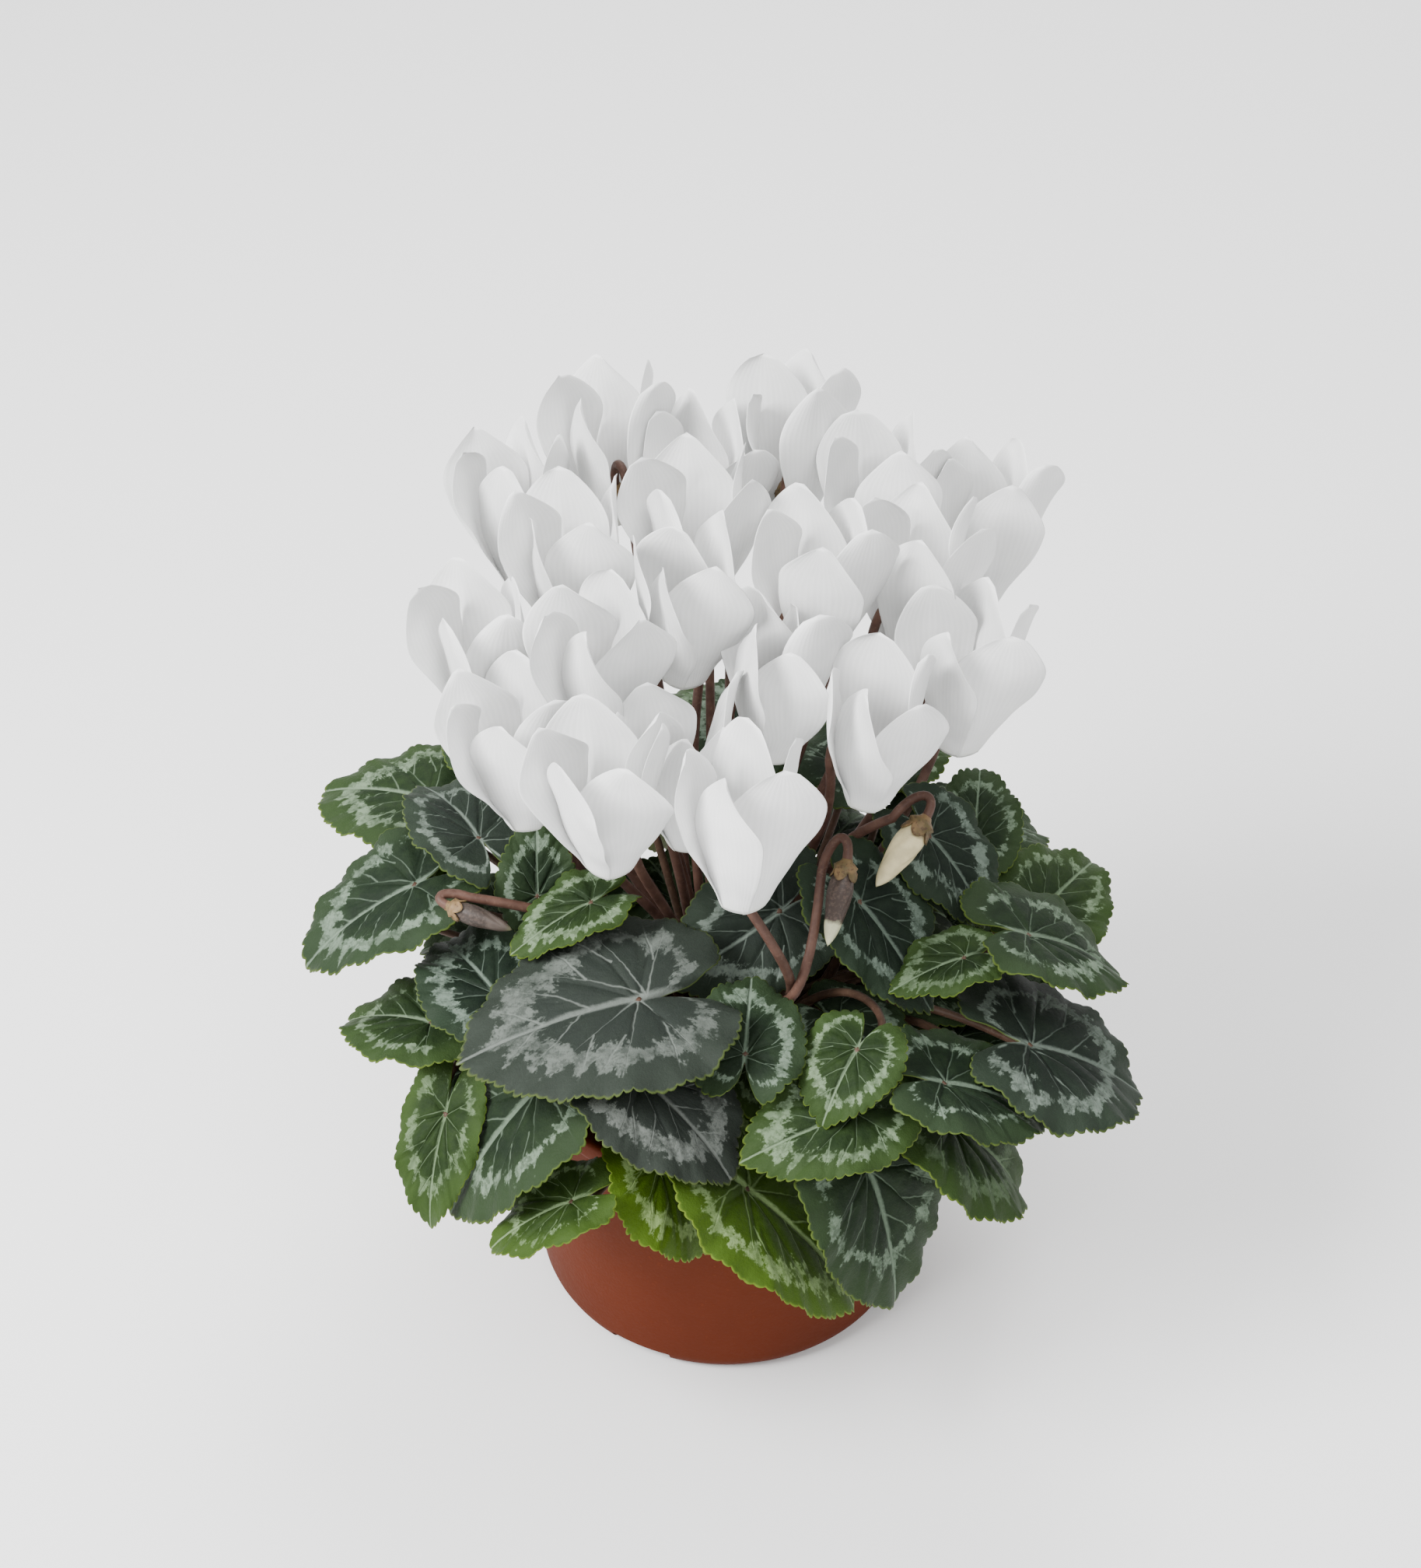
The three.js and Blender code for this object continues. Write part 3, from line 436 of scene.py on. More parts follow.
def soilFinish():
    earth = Finish("compost", {"Roughness": 0.95, "Specular IOR Level": 0.2})
    crumb = earth.grain(420, 5, 0.7)
    clod = earth.grain(90, 3)
    tone = earth.blend(crumb.step(0.35, 0.7), (0.006, 0.004, 0.003), (0.026, 0.017, 0.011))
    tone = earth.blend(crumb.step(0.66, 0.74) * clod.step(0.5, 0.6), tone, (0.07, 0.05, 0.032))
    earth.feed("Base Color", tone)
    earth.relief(crumb + clod, 0.6, 0.0012)
    return earth


def makeSoil():
    lipFoot = pot["height"] - pot["lip"]
    facetLoss = math.cos(math.pi / soil["facets"])          # it stays inside the solid's flat facets
    top, low, step, rows = soil["top"], soil["underside"], soil["stepHeight"], soil["rows"]

    def wallAt(height):
        rise = (height - pot["footRounding"]) / (lipFoot - pot["footRounding"])
        wall = pot["wallFoot"] + (pot["wallTop"] - pot["wallFoot"]) * rise
        return (wall - pot["wall"] - plant["gap"]) * facetLoss

    edge = wallAt(top)
    profile = [(0, low), (soil["stepRadius"], low), (soil["stepRadius"], step),
               ((pot["flatRadius"] - 1) * facetLoss, step), (wallAt(12), 12), (edge, top - 3)]
    under = len(profile)
    profile += [(edge * (1 - k / rows), top - 1 + 1.5 * k / rows) for k in range(rows + 1)]
    rings = turnedRings(profile, soil["columns"])
    for row, level in enumerate(rings[under:]):
        for spot in level:
            lump = 0
            for pace, seed, share in soil["lumps"]:
                lump += share * noise.noise((spot[0] * pace, spot[1] * pace, seed))
            spot[2] += min(1.0, row / 3) * soil["lumpHeight"] * lump
    shell = Shells()
    shell.loft(rings)
    shell.piece("compost", [soilFinish()], ["soil"])


makeSoil()
print("compost made")

# tuber, stalks and calyces

stalkStyle = {
    "radius": 1.5, "sides": 10, "riseSteps": 22, "hookSteps": 14,
    "petioleRadius": 1.35, "petioleSteps": 22, "petioleSides": 8,
    "tones": ((0.056, 0.026, 0.018), (0.098, 0.050, 0.036)),
    "lowTone": (0.045, 0.030, 0.015), "speckTone": (0.155, 0.095, 0.070),
}
bloomStyle = {
    "petals": 5, "petalStep": 64, "twist": 30, "hookReach": 13.4, "hookRise": 18, "calyxSeat": 9.8,
    "crownRadii": [4, 8.5, 12.5], "ringEnds": [4, 12, 20], "stalkRadius": 1.6,
}
bloomRows = [   # mouth, lean in degrees and, where it isn't 0, turn about the stalk
    ((4, -61, 203), -7, 32),
    ((-32, -46, 203), 4),
    ((-11, -31, 199), 2),
    ((-56, -20, 197), 6),
    ((39, -21, 205), 3),
    ((66, 5, 203), 3),
    ((53, 33, 214), 4),
    ((76, 69, 207), 4),
    ((45, 64, 219), 3),
    ((20, 84, 227), 4),
    ((26, 22, 222), 0),
    ((-8, 42, 225), 0),
    ((-33, 84, 225), 4),
    ((-7, 75, 218), 3),
    ((-60, 66, 215), 5),
    ((-42, 32, 221), 3),
    ((-66, 13, 204), 4),
    ((-34, -7, 215), 2),
    ((-12, 12, 222), 0),
    ((13, -8, 211), 0, 30),
]
blooms = [dict(zip(("mouth", "lean", "turn"), row)) for row in bloomRows]
budRows = [   # radius, then reach and rise of the hook
    ("creamBud", "bud_cream", (55, -15, 190), (42, -28, 178), 4.2, 8, 12),
    ("darkBud", "bud_dark", (33, -33, 190), (28, -46, 172), 3.6, 8, 12),
    ("curledBud", "bud_curled", (-78, -27, 169), (-61, -32, 165), 3, 5, 8),
]
buds = [dict(zip(("name", "node", "seat", "tip", "radius", "reach", "rise"), row)) for row in budRows]
stalkBends = mixes({
    "sway": [0, 8, -8, 16, -16, 24, -24],
    "reach": [50, 35, 65],
    "draw": [0, 9, -9, 18, -18],
    "rise": [60, 35],
    "turn": [0, 14, -14, 28, -28],
})
petioleBends = mixes({
    "sway": [0, 7, -7, 14, -14, 21, -21, 28, -28, 36, -36],
    "reach": [14, 22, 8, 32],
    "rise": [30, 45, 18, 60],
    "turn": [0, 10, -10, 20, -20],
})


def flowerFrame(place, axis, turn=0):
    away = unit((place - plant["flowerHeart"]) * [1, 1, 0])
    out = turnedAbout(unit(away - axis * away.dot(axis)), axis, turn)
    return {"mouth": place, "axis": axis, "out": out, "side": np.cross(axis, out)}


for index, flower in enumerate(blooms):
    mouth = np.array(flower["mouth"], float)
    away = unit((mouth - plant["flowerHeart"]) * [1, 1, 0])
    lean = math.radians(flower["lean"])
    axis = away * math.sin(lean) + upward * math.cos(lean)
    flower.update(flowerFrame(mouth, axis, flower.get("turn", 0)))
    flower["node"] = f"bloom_{index + 1:02d}"
    flower["spin"] = 12 * spread(index)
    flower["flare"] = 3 * spread(index, 0.41)
    flower["index"] = index
for bud in buds:
    seat, tip = np.array(bud["seat"], float), np.array(bud["tip"], float)
    bud["long"] = np.linalg.norm(tip - seat)
    bud.update(flowerFrame(seat, unit(seat - tip)))


def flowerPath(owner, reach, seat, topRise, rootRadius, bend):
    axis, out = owner["axis"], owner["out"]
    joint = owner["mouth"] - out * reach + axis * (seat - 3)
    bearing = bearingOf(joint)
    root = crownPoint(bearing + bend["turn"], rootRadius)
    sway = around(bearing + 90) * bend["sway"]
    rise = (root, root + upward * bend["rise"] + sway,
            joint - axis * bend["reach"] + sway - out * bend["draw"], joint)
    hook = (joint, joint + axis * topRise, owner["mouth"] + axis * (seat + topRise),
            owner["mouth"] + axis * (seat + plant["gap"]))
    return rise, hook


def stalkShapes():  # owner, how far its hook reaches, seat of the calyx, rise of the hook, root on the tuber
    heart = plant["flowerHeart"]
    order = sorted(blooms, key=lambda flower: math.hypot(flower["mouth"][0], flower["mouth"][1] - heart[1]))
    asked = []
    for rank, flower in enumerate(order):
        circle = next(k for k, end in enumerate(bloomStyle["ringEnds"]) if rank < end)
        root = bloomStyle["crownRadii"][circle]
        asked.append((flower, bloomStyle["hookReach"], bloomStyle["calyxSeat"], bloomStyle["hookRise"], root))
    asked += [(bud, bud["reach"], 0, bud["rise"], bloomStyle["crownRadii"][-1]) for bud in buds]
    return asked


def stalkFinish():
    flesh = Finish("stalkFlesh", {"Roughness": 0.55, "Specular IOR Level": 0.25})
    streak = flesh.grain(160, 3)
    fine = flesh.grain(900, 2)
    tone = flesh.blend(streak.step(0.3, 0.7), *stalkStyle["tones"])
    tone = flesh.blend(flesh.mark("rise"), tone, stalkStyle["lowTone"])
    flesh.feed("Base Color", flesh.blend(fine.step(0.55, 0.75) * 0.35, tone, stalkStyle["speckTone"]))
    flesh.relief(fine, 0.12, 0.0003)
    return flesh


def calyxFinish():
    cup = Finish("calyxSkin", {"Roughness": 0.6, "Specular IOR Level": 0.35})
    speck = cup.grain(1100, 2)
    tone = cup.blend(cup.grain(220, 2).step(0.35, 0.65), (0.085, 0.062, 0.022), (0.17, 0.105, 0.045))
    cup.feed("Base Color", cup.blend(speck.step(0.52, 0.66) * 0.7, tone, (0.05, 0.022, 0.012)))
    cup.relief(speck, 0.15, 0.0003)
    return cup


def corkFinish():
    cork = Finish("tuberCork", {"Roughness": 0.9, "Specular IOR Level": 0.25})
    crack = cork.grain(120, 5, 0.7)
    cork.feed("Base Color", cork.blend(crack.step(0.35, 0.65), (0.055, 0.032, 0.020), (0.16, 0.10, 0.062)))
    cork.relief(crack, 0.5, 0.0012)
    return cork


stalkPaint, calyxPaint, corkPaint = stalkFinish(), calyxFinish(), corkFinish()
tuberCloud = solidPoints("tuber_with_stalks")


def makeTuber():
    shell = Shells()
    radius, middle, half = tuber["radius"], tuber["middle"], tuber["height"] / 2
    profile = []
    for k in range(25):
        angle = math.radians(-90 + k * 7.5)
        profile.append((max(0, radius * math.cos(angle)), middle + half * math.sin(angle)))
    rings = turnedRings(profile, 72)
    for level in rings[1:-1]:
        for spot in level:
            x, y, z = spot
            push = 1 - 0.02 * (1 + noise.noise((x * 0.22, y * 0.22, z * 0.3)))
            spot[:] = (x * push, y * push, middle + (z - middle) * push)
    shell.loft(rings)
    shell.piece("tuber", [corkPaint], ["tuber_with_stalks"])


def makeFlowerStalks():
    shell = Shells("rise")
    rise = np.linspace(0, 1, stalkStyle["riseSteps"])
    hook = np.linspace(0, 1, stalkStyle["hookSteps"])[1:]
    checks = np.array([0.25, 0.5, 0.75])
    solidRadius = bloomStyle["stalkRadius"]
    for shape in stalkShapes():
        def match(way):
            return onRing(bezier(*flowerPath(*shape, way)[0], checks), solidRadius, tuberCloud)
        bend = max(stalkBends, key=match)
        first, second = flowerPath(*shape, bend)
        points = np.concatenate([bezier(*first, rise), bezier(*second, hook)])
        along = np.linspace(0, 1, len(points))
        radii = stalkStyle["radius"] * (1.04 - 0.14 * along + 0.12 * np.exp(-((1 - along) / 0.03) ** 2))
        shade = np.concatenate([[0], along, [1]])[:, None]
        shell.loft(tubeRings(points, radii, stalkStyle["sides"]), rise=0.5 * np.exp(-shade / 0.08))
    shell.piece("flowerStalks", [stalkPaint], ["tuber_with_stalks"])


calyx = {
    "top": 3.2, "gape": 0.45, "thick": 0.35, "reach": 3.2, "lap": 1.4, "sides": 60, "budGirth": 4.6,
    "crown": [(2.2, 2.2), (1.1, 3.6)],   # height over the seat and radius, up to the knee
    "knee": (0.3, 4.5),
}


def calyxRings(owner, scale, seat, tubeAt):
    angles = np.linspace(0, 2 * math.pi, calyx["sides"] + 1)
    level = np.ones_like(angles)
    lobe = np.abs(np.cos(2.5 * angles)) ** 0.75
    top = seat + calyx["top"] * scale
    rows = [(top * level, 0 * level), (top * level, 1.5 * level)]
    rows += [((seat + height * scale) * level, radius * scale * level) for height, radius in calyx["crown"]]
    rows.append(((seat + calyx["knee"][0]) * level, calyx["knee"][1] * scale * level))

    def lap(share):
        return seat - (calyx["lap"] + calyx["reach"] * lobe) * share * scale

    for share in (0.25, 0.5, 0.75, 1):
        rows.append((lap(share), tubeAt(lap(share)) + calyx["gape"] + 0.5 * share * share))
    for share in (1, 0.5, 0.1):
        inside = calyx["gape"] - calyx["thick"] + 0.3 * share * share
        rows.append((lap(share) + 0.05, tubeAt(lap(share)) + inside))
    rows.append(((seat + 0.1) * level, 0 * level))
    heights, radii = np.array(rows).transpose(1, 0, 2)
    return onFlower(roundRings(radii, angles, heights), owner)


def makeCalyces():
    shell = Shells()
    seat = bloomStyle["calyxSeat"]
    for flower in blooms:
        shell.loft(calyxRings(flower, 1, seat, lambda height: 4.3 + (seat - height) * 0.18))
    for bud in buds:
        scale = bud["radius"] / calyx["budGirth"]
        shell.loft(calyxRings(bud, scale, 0, lambda height: bud["radius"] * (0.72 - 0.04 * height)))
    shell.piece("calyces", [calyxPaint], ["tuber_with_stalks"])


makeTuber()
makeFlowerStalks()
makeCalyces()
print("tuber, flower stalks and calyces made")

# blooms

petalStations = [   # share, out, up and half width, as in the solids
    (0.3, 10.6, 14, 6), (0.62, 12.6, 29, 11.4), (0.88, 14, 41.5, 9),
]
petalLine = {   # the fine petal's own line: it turns out of the throat, over the rim and up
    "share": [-0.10, -0.06, -0.02, 0.03, 0.12, 0.3, 0.62, 0.88, 1.0],
    "out": [3.8, 4.7, 5.6, 6.2, 7.2, 9.6, 12.4, 14.2, 15.6],
    "up": [3.6, 1.0, 0.2, 1.6, 6.0, 14.0, 29.0, 41.5, 49.0],
    "half": [2.8, 3.3, 3.8, 4.3, 5.6, 8.2, 12.4, 12.0, 9.6],
}
petalStyle = {
    "rows": 30, "middle": 0.32, "edge": 0.09,
    "across": [-1, -0.975, -0.9, -0.75, -0.55, -0.35, -0.15, 0, 0.15, 0.35, 0.55, 0.75, 0.9, 0.975, 1],
    "bowl": 1.4, "crease": 0.35, "creaseWidth": 0.1, "ripple": 1.2, "tipFrom": 0.68, "solidLift": 0.45,
    "tones": ((0.76, 0.765, 0.76), (0.85, 0.85, 0.845)), "ribTone": (0.58, 0.59, 0.58),
    "throatTone": (0.74, 0.75, 0.66),
}
petalBends = mixes({
    "lean": [0, -5, 5, -10, 10, -15, -20],
    "turn": [0, 6, -6, 12, -12, 18],
    "twist": [0, 16, -16, 32, -32],
    "size": [1, 0.88],
})


def smoothLine(shares, stations, values):  # a smooth line through the stations
    stations, values = np.array(stations, float), np.array(values, float)
    slopes = np.gradient(values, stations)
    k = np.clip(np.searchsorted(stations, shares) - 1, 0, len(stations) - 2)
    width = stations[k + 1] - stations[k]
    t = (shares - stations[k]) / width
    return ((2 * t ** 3 - 3 * t ** 2 + 1) * values[k] + (t ** 3 - 2 * t ** 2 + t) * width * slopes[k]
            + (-2 * t ** 3 + 3 * t ** 2) * values[k + 1] + (t ** 3 - t ** 2) * width * slopes[k + 1])


def petalPoint(flower, petal, bend, share, out, height, aside, lift):
    inside = np.clip(share, 0, 1)
    turn = flower["spin"] + (petal - 2) * bloomStyle["petalStep"] + bend["turn"] * np.minimum(1, inside / 0.3)

    def arms(angle):
        return np.cos(angle)[..., None], np.sin(angle)[..., None]

    c, s = arms(np.radians(turn))
    radial = flower["out"] * c + flower["side"] * s
    tangent = np.cross(flower["axis"], radial)
    lean = np.radians(bend["lean"] + flower["flare"]) * inside
    c, s = arms(lean)
    slope = radial * c - flower["axis"] * s
    c, s = arms(np.radians(bloomStyle["twist"] + bend["twist"]) * inside)
    width = tangent * c + slope * s
    thick = slope * c - tangent * s
    away = out + np.sin(lean) * height * bend["size"] * 0.6
    rise = height * bend["size"] * np.cos(lean * 0.6)
    return (flower["mouth"] + radial * away[..., None] + flower["axis"] * rise[..., None]
            + width * aside[..., None] + thick * lift[..., None])


def petalBend(flower, petal, cloud):
    share, out, height, half = np.array(petalStations, float).T[:, None, :]
    ways = {key: np.array([way[key] for way in petalBends])[:, None] for key in petalBends[0]}
    lift = np.full((1, len(petalStations)), petalStyle["solidLift"])
    sides = [petalPoint(flower, petal, ways, share, out, height, side * half, lift) for side in (-1, 1)]
    off = [np.minimum(nearness(corners, cloud), 2).sum() for corners in np.concatenate(sides, axis=1)]
    return petalBends[int(np.argmin(off))]


def petalRings(flower, petal, bend):
    first = petalLine["share"][0]
    rows = np.linspace(0, 1, petalStyle["rows"])
    share = first + (1 - first) * (0.72 * rows + 0.28 * np.sin(rows * math.pi / 2))
    lines = [petalLine[key] for key in ("out", "up", "half")]
    out, height, half = [smoothLine(share, petalLine["share"], line) for line in lines]
    tip = np.clip((share - petalStyle["tipFrom"]) / (1 - petalStyle["tipFrom"]), 0, 1)
    number = flower["index"] * bloomStyle["petals"] + petal
    point = 0.5 + 0.5 * spread(number, 0.41)                  # 0 a round tip, 1 a pointed one
    half = half * (1 + 0.05 * spread(number, 0.31)) * (1 - tip ** (2.6 - 0.8 * point)) ** (0.5 + 0.3 * point)
    across = np.array(petalStyle["across"])
    aside = np.concatenate([across, across[-2::-1]])          # out over one face and back over the other
    face = np.concatenate([np.ones(len(across)), -np.ones(len(across) - 1)])
    face[[0, len(across) - 1, -1]] = 0
    share, out, height, half, tip = [values[:, None] for values in (share, out, height, half, tip)]
    aside, face = aside[None, :], face[None, :]
    seed = 2 * math.pi * spread(number, 0.73)
    bowl, edge, opened = petalStyle["bowl"], petalStyle["edge"], np.clip(share, 0, 1)
    thick = edge + (petalStyle["middle"] - edge) * (1 - aside ** 4)
    lift = face * thick * (1 - 0.5 * tip)
    lift = lift + bowl * (half / 8) * (1 - aside ** 2) * (1 - 0.5 * opened) - bowl * 0.5
    crease = np.exp(-(aside / petalStyle["creaseWidth"]) ** 2) * np.clip(share * 3, 0, 1) * (1 - tip)
    wave = np.sin(8 * share + seed) * aside ** 3 + 0.5 * np.sin(17 * share + seed * 2) * aside ** 4
    lift = lift - petalStyle["crease"] * crease + petalStyle["ripple"] * wave * opened
    values = np.broadcast_arrays(share, out, height, aside * half, lift)
    rings = petalPoint(flower, petal, bend, *values)
    rings[0] = rings[0].mean(axis=0)
    rings[-1] = rings[-1].mean(axis=0)
    return rings, aside, share


def petalFinish():
    silk = Finish("petalSilk", {"Roughness": 0.48, "Specular IOR Level": 0.35, "Subsurface Weight": 0.12,
                                "Subsurface Radius": (0.004, 0.004, 0.0038), "Sheen Weight": 0.08})
    across, along, seed = silk.mark("petalAcross"), silk.mark("petalAlong"), silk.mark("petalSeed")
    cloud = silk.grain(60, 2)
    rib = (across * 46 + cloud * 5 + seed).sine() * 0.5 + 0.5
    tone = silk.blend(cloud.step(0.3, 0.7), *petalStyle["tones"])
    tone = silk.blend(rib * 0.15, tone, petalStyle["ribTone"])
    tone = silk.blend((1 - along.step(-0.04, 0.12)) * 0.5, tone, petalStyle["throatTone"])
    silk.feed("Base Color", tone)
    silk.relief(rib + silk.grain(500, 2) * 0.5, 0.10, 0.0003)
    return silk


tubeProfile = [   # radius and height over the mouth, from inside the tube round its rim and up to the calyx
    (0, 5.0), (2.0, 4.6), (3.2, 3.0), (4.0, 1.4), (4.6, 0.7), (5.2, 0.9), (5.5, 1.8), (5.6, 3.0), (5.3, 5.2),
    (4.9, 7.4), (4.2, 9.0), (3.4, 9.6), (0, bloomStyle["calyxSeat"]),
]


def bloomTubeRings(flower):
    def flute(angle, height):
        return 1 + 0.03 * np.cos(5 * angle) * np.exp(-height / 4)

    return onFlower(turnedRings(tubeProfile, 48, flute), flower)


petalPaint = petalFinish()
for flower in blooms:
    cloud = solidPoints(flower["node"])
    shell = Shells("petalAcross", "petalAlong", "petalSeed")
    shell.loft(bloomTubeRings(flower), petalAcross=0.0, petalAlong=-0.02, petalSeed=0.0)
    for petal in range(bloomStyle["petals"]):
        bend = petalBend(flower, petal, cloud)
        rings, across, along = petalRings(flower, petal, bend)
        shell.loft(rings, petalAcross=across, petalAlong=along, petalSeed=flower["index"] + petal * 0.7)
    shell.piece(f"bloom{flower['index'] + 1:02d}", [petalPaint], [flower["node"]])
print("blooms made")

# buds


def budFinish(name, body, upper, tipTone, turn):
    skin = Finish(name, {"Roughness": 0.5, "Specular IOR Level": 0.4})
    along = skin.mark("budAlong")
    rough = skin.grain(260, 3)
    speck = skin.grain(1200, 2)
    tone = skin.blend(rough.step(0.35, 0.65), body, tuple(0.8 * value for value in body))
    dark = 1 - (along + (rough - 0.5) * 0.25).step(turn - 0.05, turn + 0.05)
    top = skin.blend(speck.step(0.45, 0.65), upper, tuple(1.8 * value for value in upper))
    tone = skin.blend(dark, tone, top)
    tone = skin.blend(along.step(0.86, 1.0) * 0.6, tone, tipTone)
    skin.feed("Base Color", tone)
    skin.relief(rough + speck, 0.15, 0.0004)
    return skin


budTones = {   # finish, tones of the body, its dark top and its tip, and how far down the top reaches
    "creamBud": ("budCream", (0.62, 0.54, 0.31), (0.10, 0.07, 0.035), (0.62, 0.60, 0.36), 0.12),
    "darkBud": ("budDark", (0.55, 0.55, 0.36), (0.040, 0.026, 0.020), (0.60, 0.62, 0.40), 0.68),
    "curledBud": ("budCurled", (0.070, 0.052, 0.042), (0.035, 0.025, 0.020), (0.10, 0.11, 0.05), 0.55),
}
budStyle = {
    "rows": 26, "sides": 48, "shares": [0, 0.25, 0.6, 0.92, 1], "girth": [0.7, 1, 0.8, 0.3], "tip": 0.05,
    "neck": 0.62, "furls": 3, "furlTurn": 1.1, "furlDepth": 0.10, "furlWidth": 0.10,
}
for bud in buds:
    shares = np.linspace(0, 1, budStyle["rows"])
    widths = [bud["radius"] * share for share in budStyle["girth"]] + [budStyle["tip"]]
    girth = smoothLine(shares, budStyle["shares"], widths)
    girth[0] = girth[-1] = 0
    girth[1] = bud["radius"] * budStyle["neck"]
    angles = np.linspace(0, 2 * math.pi, budStyle["sides"] + 1)
    turn = angles[None] * budStyle["furls"] / (2 * math.pi) + shares[:, None] * budStyle["furlTurn"]
    furl = np.exp(-((np.mod(turn, 1) - 0.5) / budStyle["furlWidth"]) ** 2)
    reach = girth[:, None] * (1 - budStyle["furlDepth"] * furl)
    rings = roundRings(reach, angles, -shares[:, None] * bud["long"])
    shell = Shells("budAlong")
    shell.loft(onFlower(rings, bud), budAlong=shares[:, None])
    shell.piece(bud["name"], [budFinish(*budTones[bud["name"]])], [bud["node"]])
print("buds made")

# leaves

leafStyle = {
    "thick": 0.48, "rim": 0.2, "fold": 0.24, "cup": 0.34, "arch": 0.24, "wave": 0.03, "toothPitch": 2.9,
    "toothDepth": 1.3, "petioleRadius": 1.4, "crownRadii": [16.5, 20.5], "standOff": 1.2, "quilt": 0.9,
    "quiltWidth": 0.05, "groove": 0.45, "grooveWidth": 0.016, "ruffle": 1.1, "point": 0.045, "pointAngle": 7,
    "topRows": [0.0, 0.07, 0.16, 0.26, 0.36, 0.46, 0.56, 0.66, 0.75, 0.83, 0.90, 0.955, 0.99, 1.0],
    "underRows": [0.99, 0.95, 0.86, 0.70, 0.50, 0.28, 0.0],
}
veins = [   # where each side vein starts, across and along, its turn off the midrib, and how much it curls
    (0, 0, 37, 0.16), (0, 0, 76, 0.18), (0, 0, 118, 0.12), (0, 0.30, 44, 0.22), (0, 0.56, 42, 0.2),
    (0.19, 0.28, 64, 0.1), (0.27, 0.12, 52, 0.2), (0.22, -0.10, 92, 0.1),
]
leafWays = mixes({
    "slide": [0, 1.5, -1.5, 3, -3, 4.5, -4.5, 6, -6, 7.5, 9, 10.5, 12],
    "roll": [0, 7, -7, 14, -14, 21, -21],
    "tilt": [0, 7, -7, 14, -14],
})
leafKeys = ("attach", "tip", "width", "green", "silver", "roll")
leafRows = [   # green is below 0 for a leaf greyed by painted sheen; silver and roll are left out where they are 1 and 0
    ((-25, -55, 160), (-73, -67, 146), 1.05, -0.75, 0.75),
    ((5, -68, 152), (7, -41, 154), 0.95, 0.1),
    ((36, -67, 152), (26, -84, 140), 1, 0.35),
    ((61, -70, 142), (90, -65, 122), 0.95, 0.1),
    ((40, -79, 116), (48, -87, 70), 0.85, 0.15),
    ((6, -81, 110), (31, -85, 64), 0.8, 0.7),
    ((-19, -74, 112), (-6, -81, 84), 1.1, 0.9),
    ((-24, -72, 146), (1, -87, 122), 1, -0.85),
    ((-54, -63, 132), (-73, -70, 88), 0.9, 0.15),
    ((-38, -78, 112), (-58, -80, 92), 0.8, 0.55),
    ((-80, -57, 116), (-82, -67, 84), 0.6, 0.45, 0.7),
    ((-65, -39, 146), (-83, -10, 144), 0.9, 0.0),
    ((-39, -26, 170), (-59, -35, 156), 0.75, 0.35),
    ((-55, -12, 160), (-55, 3, 178), 0.8, 0.15),
    ((-86, -36, 132), (-112, -23, 120), 0.95, 0.3),
    ((-98, 2, 144), (-122, 15, 132), 1, 0.75),
    ((-82, -5, 154), (-111, -12, 126), 0.9, 0.1),
    ((-91, 40, 152), (-124, 57, 139), 1, 0.25),
    ((-64, 47, 162), (-81, 77, 154), 0.85, 0.1),
    ((-66, 2, 163), (-84, 32, 157), 0.8, -0.3),
    ((15, -19, 160), (-15, -35, 146), 0.85, -0.35, 1, -42),
    ((38, -26, 170), (57, -41, 142), 0.8, 0.0),
    ((65, -39, 160), (45, -45, 152), 0.85, 0.35, 0.8),
    ((58, -1, 172), (75, -14, 150), 0.9, -0.1),
    ((79, -27, 156), (107, -19, 132), 0.95, 0.15),
    ((96, -2, 146), (114, 26, 140), 0.85, 0.35),
    ((74, 16, 158), (77, 41, 168), 0.8, 0.2),
    ((86, -47, 134), (119, -43, 111), 1.2, -0.3),
    ((64, -66, 121), (94, -65, 95), 1.05, 0.35, 0.45),
    ((34, -72, 136), (3, -83, 128), 0.8, 0.35),
]
leaves = [dict(zip(leafKeys, row)) for row in leafRows]
backBlades = [   # turn, out, height, length, droop, width
    (-13, 78, 144, 36, 24, 0.95),
    (12, 76, 152, 34, 18, 0.9),
    (1, 82, 118, 42, 66, 0.85),
    (4, 52, 168, 32, 12, 0.9),
    (-19, 74, 114, 38, 58, 0.9),
]
frontBlades = [
    (-62, 44, 122, 30, 16, 0.8),
    (-24, 40, 126, 30, 14, 0.8),
    (14, 40, 120, 30, 16, 0.8),
    (50, 44, 126, 30, 14, 0.8),
]
fans = [   # name, node, bearing
    ("leafFanBackRight", "leaf_fan_back_right", 40, backBlades),
    ("leafFanBack", "leaf_fan_back", 80, backBlades),
    ("leafFanBackLeft", "leaf_fan_back_left", 118, backBlades),
    ("leafFanFront", "leaf_fan_front", -92, frontBlades),
]
fanRoot = 17
youngBlades = [   # bearing, then as above: young leaves under the others, where the photo is all deep shade
    (112, 40, 112, 27, 8, 0.95),
    (84, 48, 114, 27, 10, 0.9),
    (61, 66, 117, 29, 14, 0.9),
    (137, 58, 116, 28, 12, 0.95),
    (157, 78, 113, 27, 18, 0.9),
    (170, 66, 119, 30, 14, 0.95),
    (-6, 58, 117, 28, 12, 0.9),
    (18, 62, 113, 28, 14, 0.9),
    (-17, 72, 110, 28, 12, 0.95),
    (2, 88, 120, 26, 16, 0.9),
    (-156, 74, 111, 28, 14, 0.95),
]
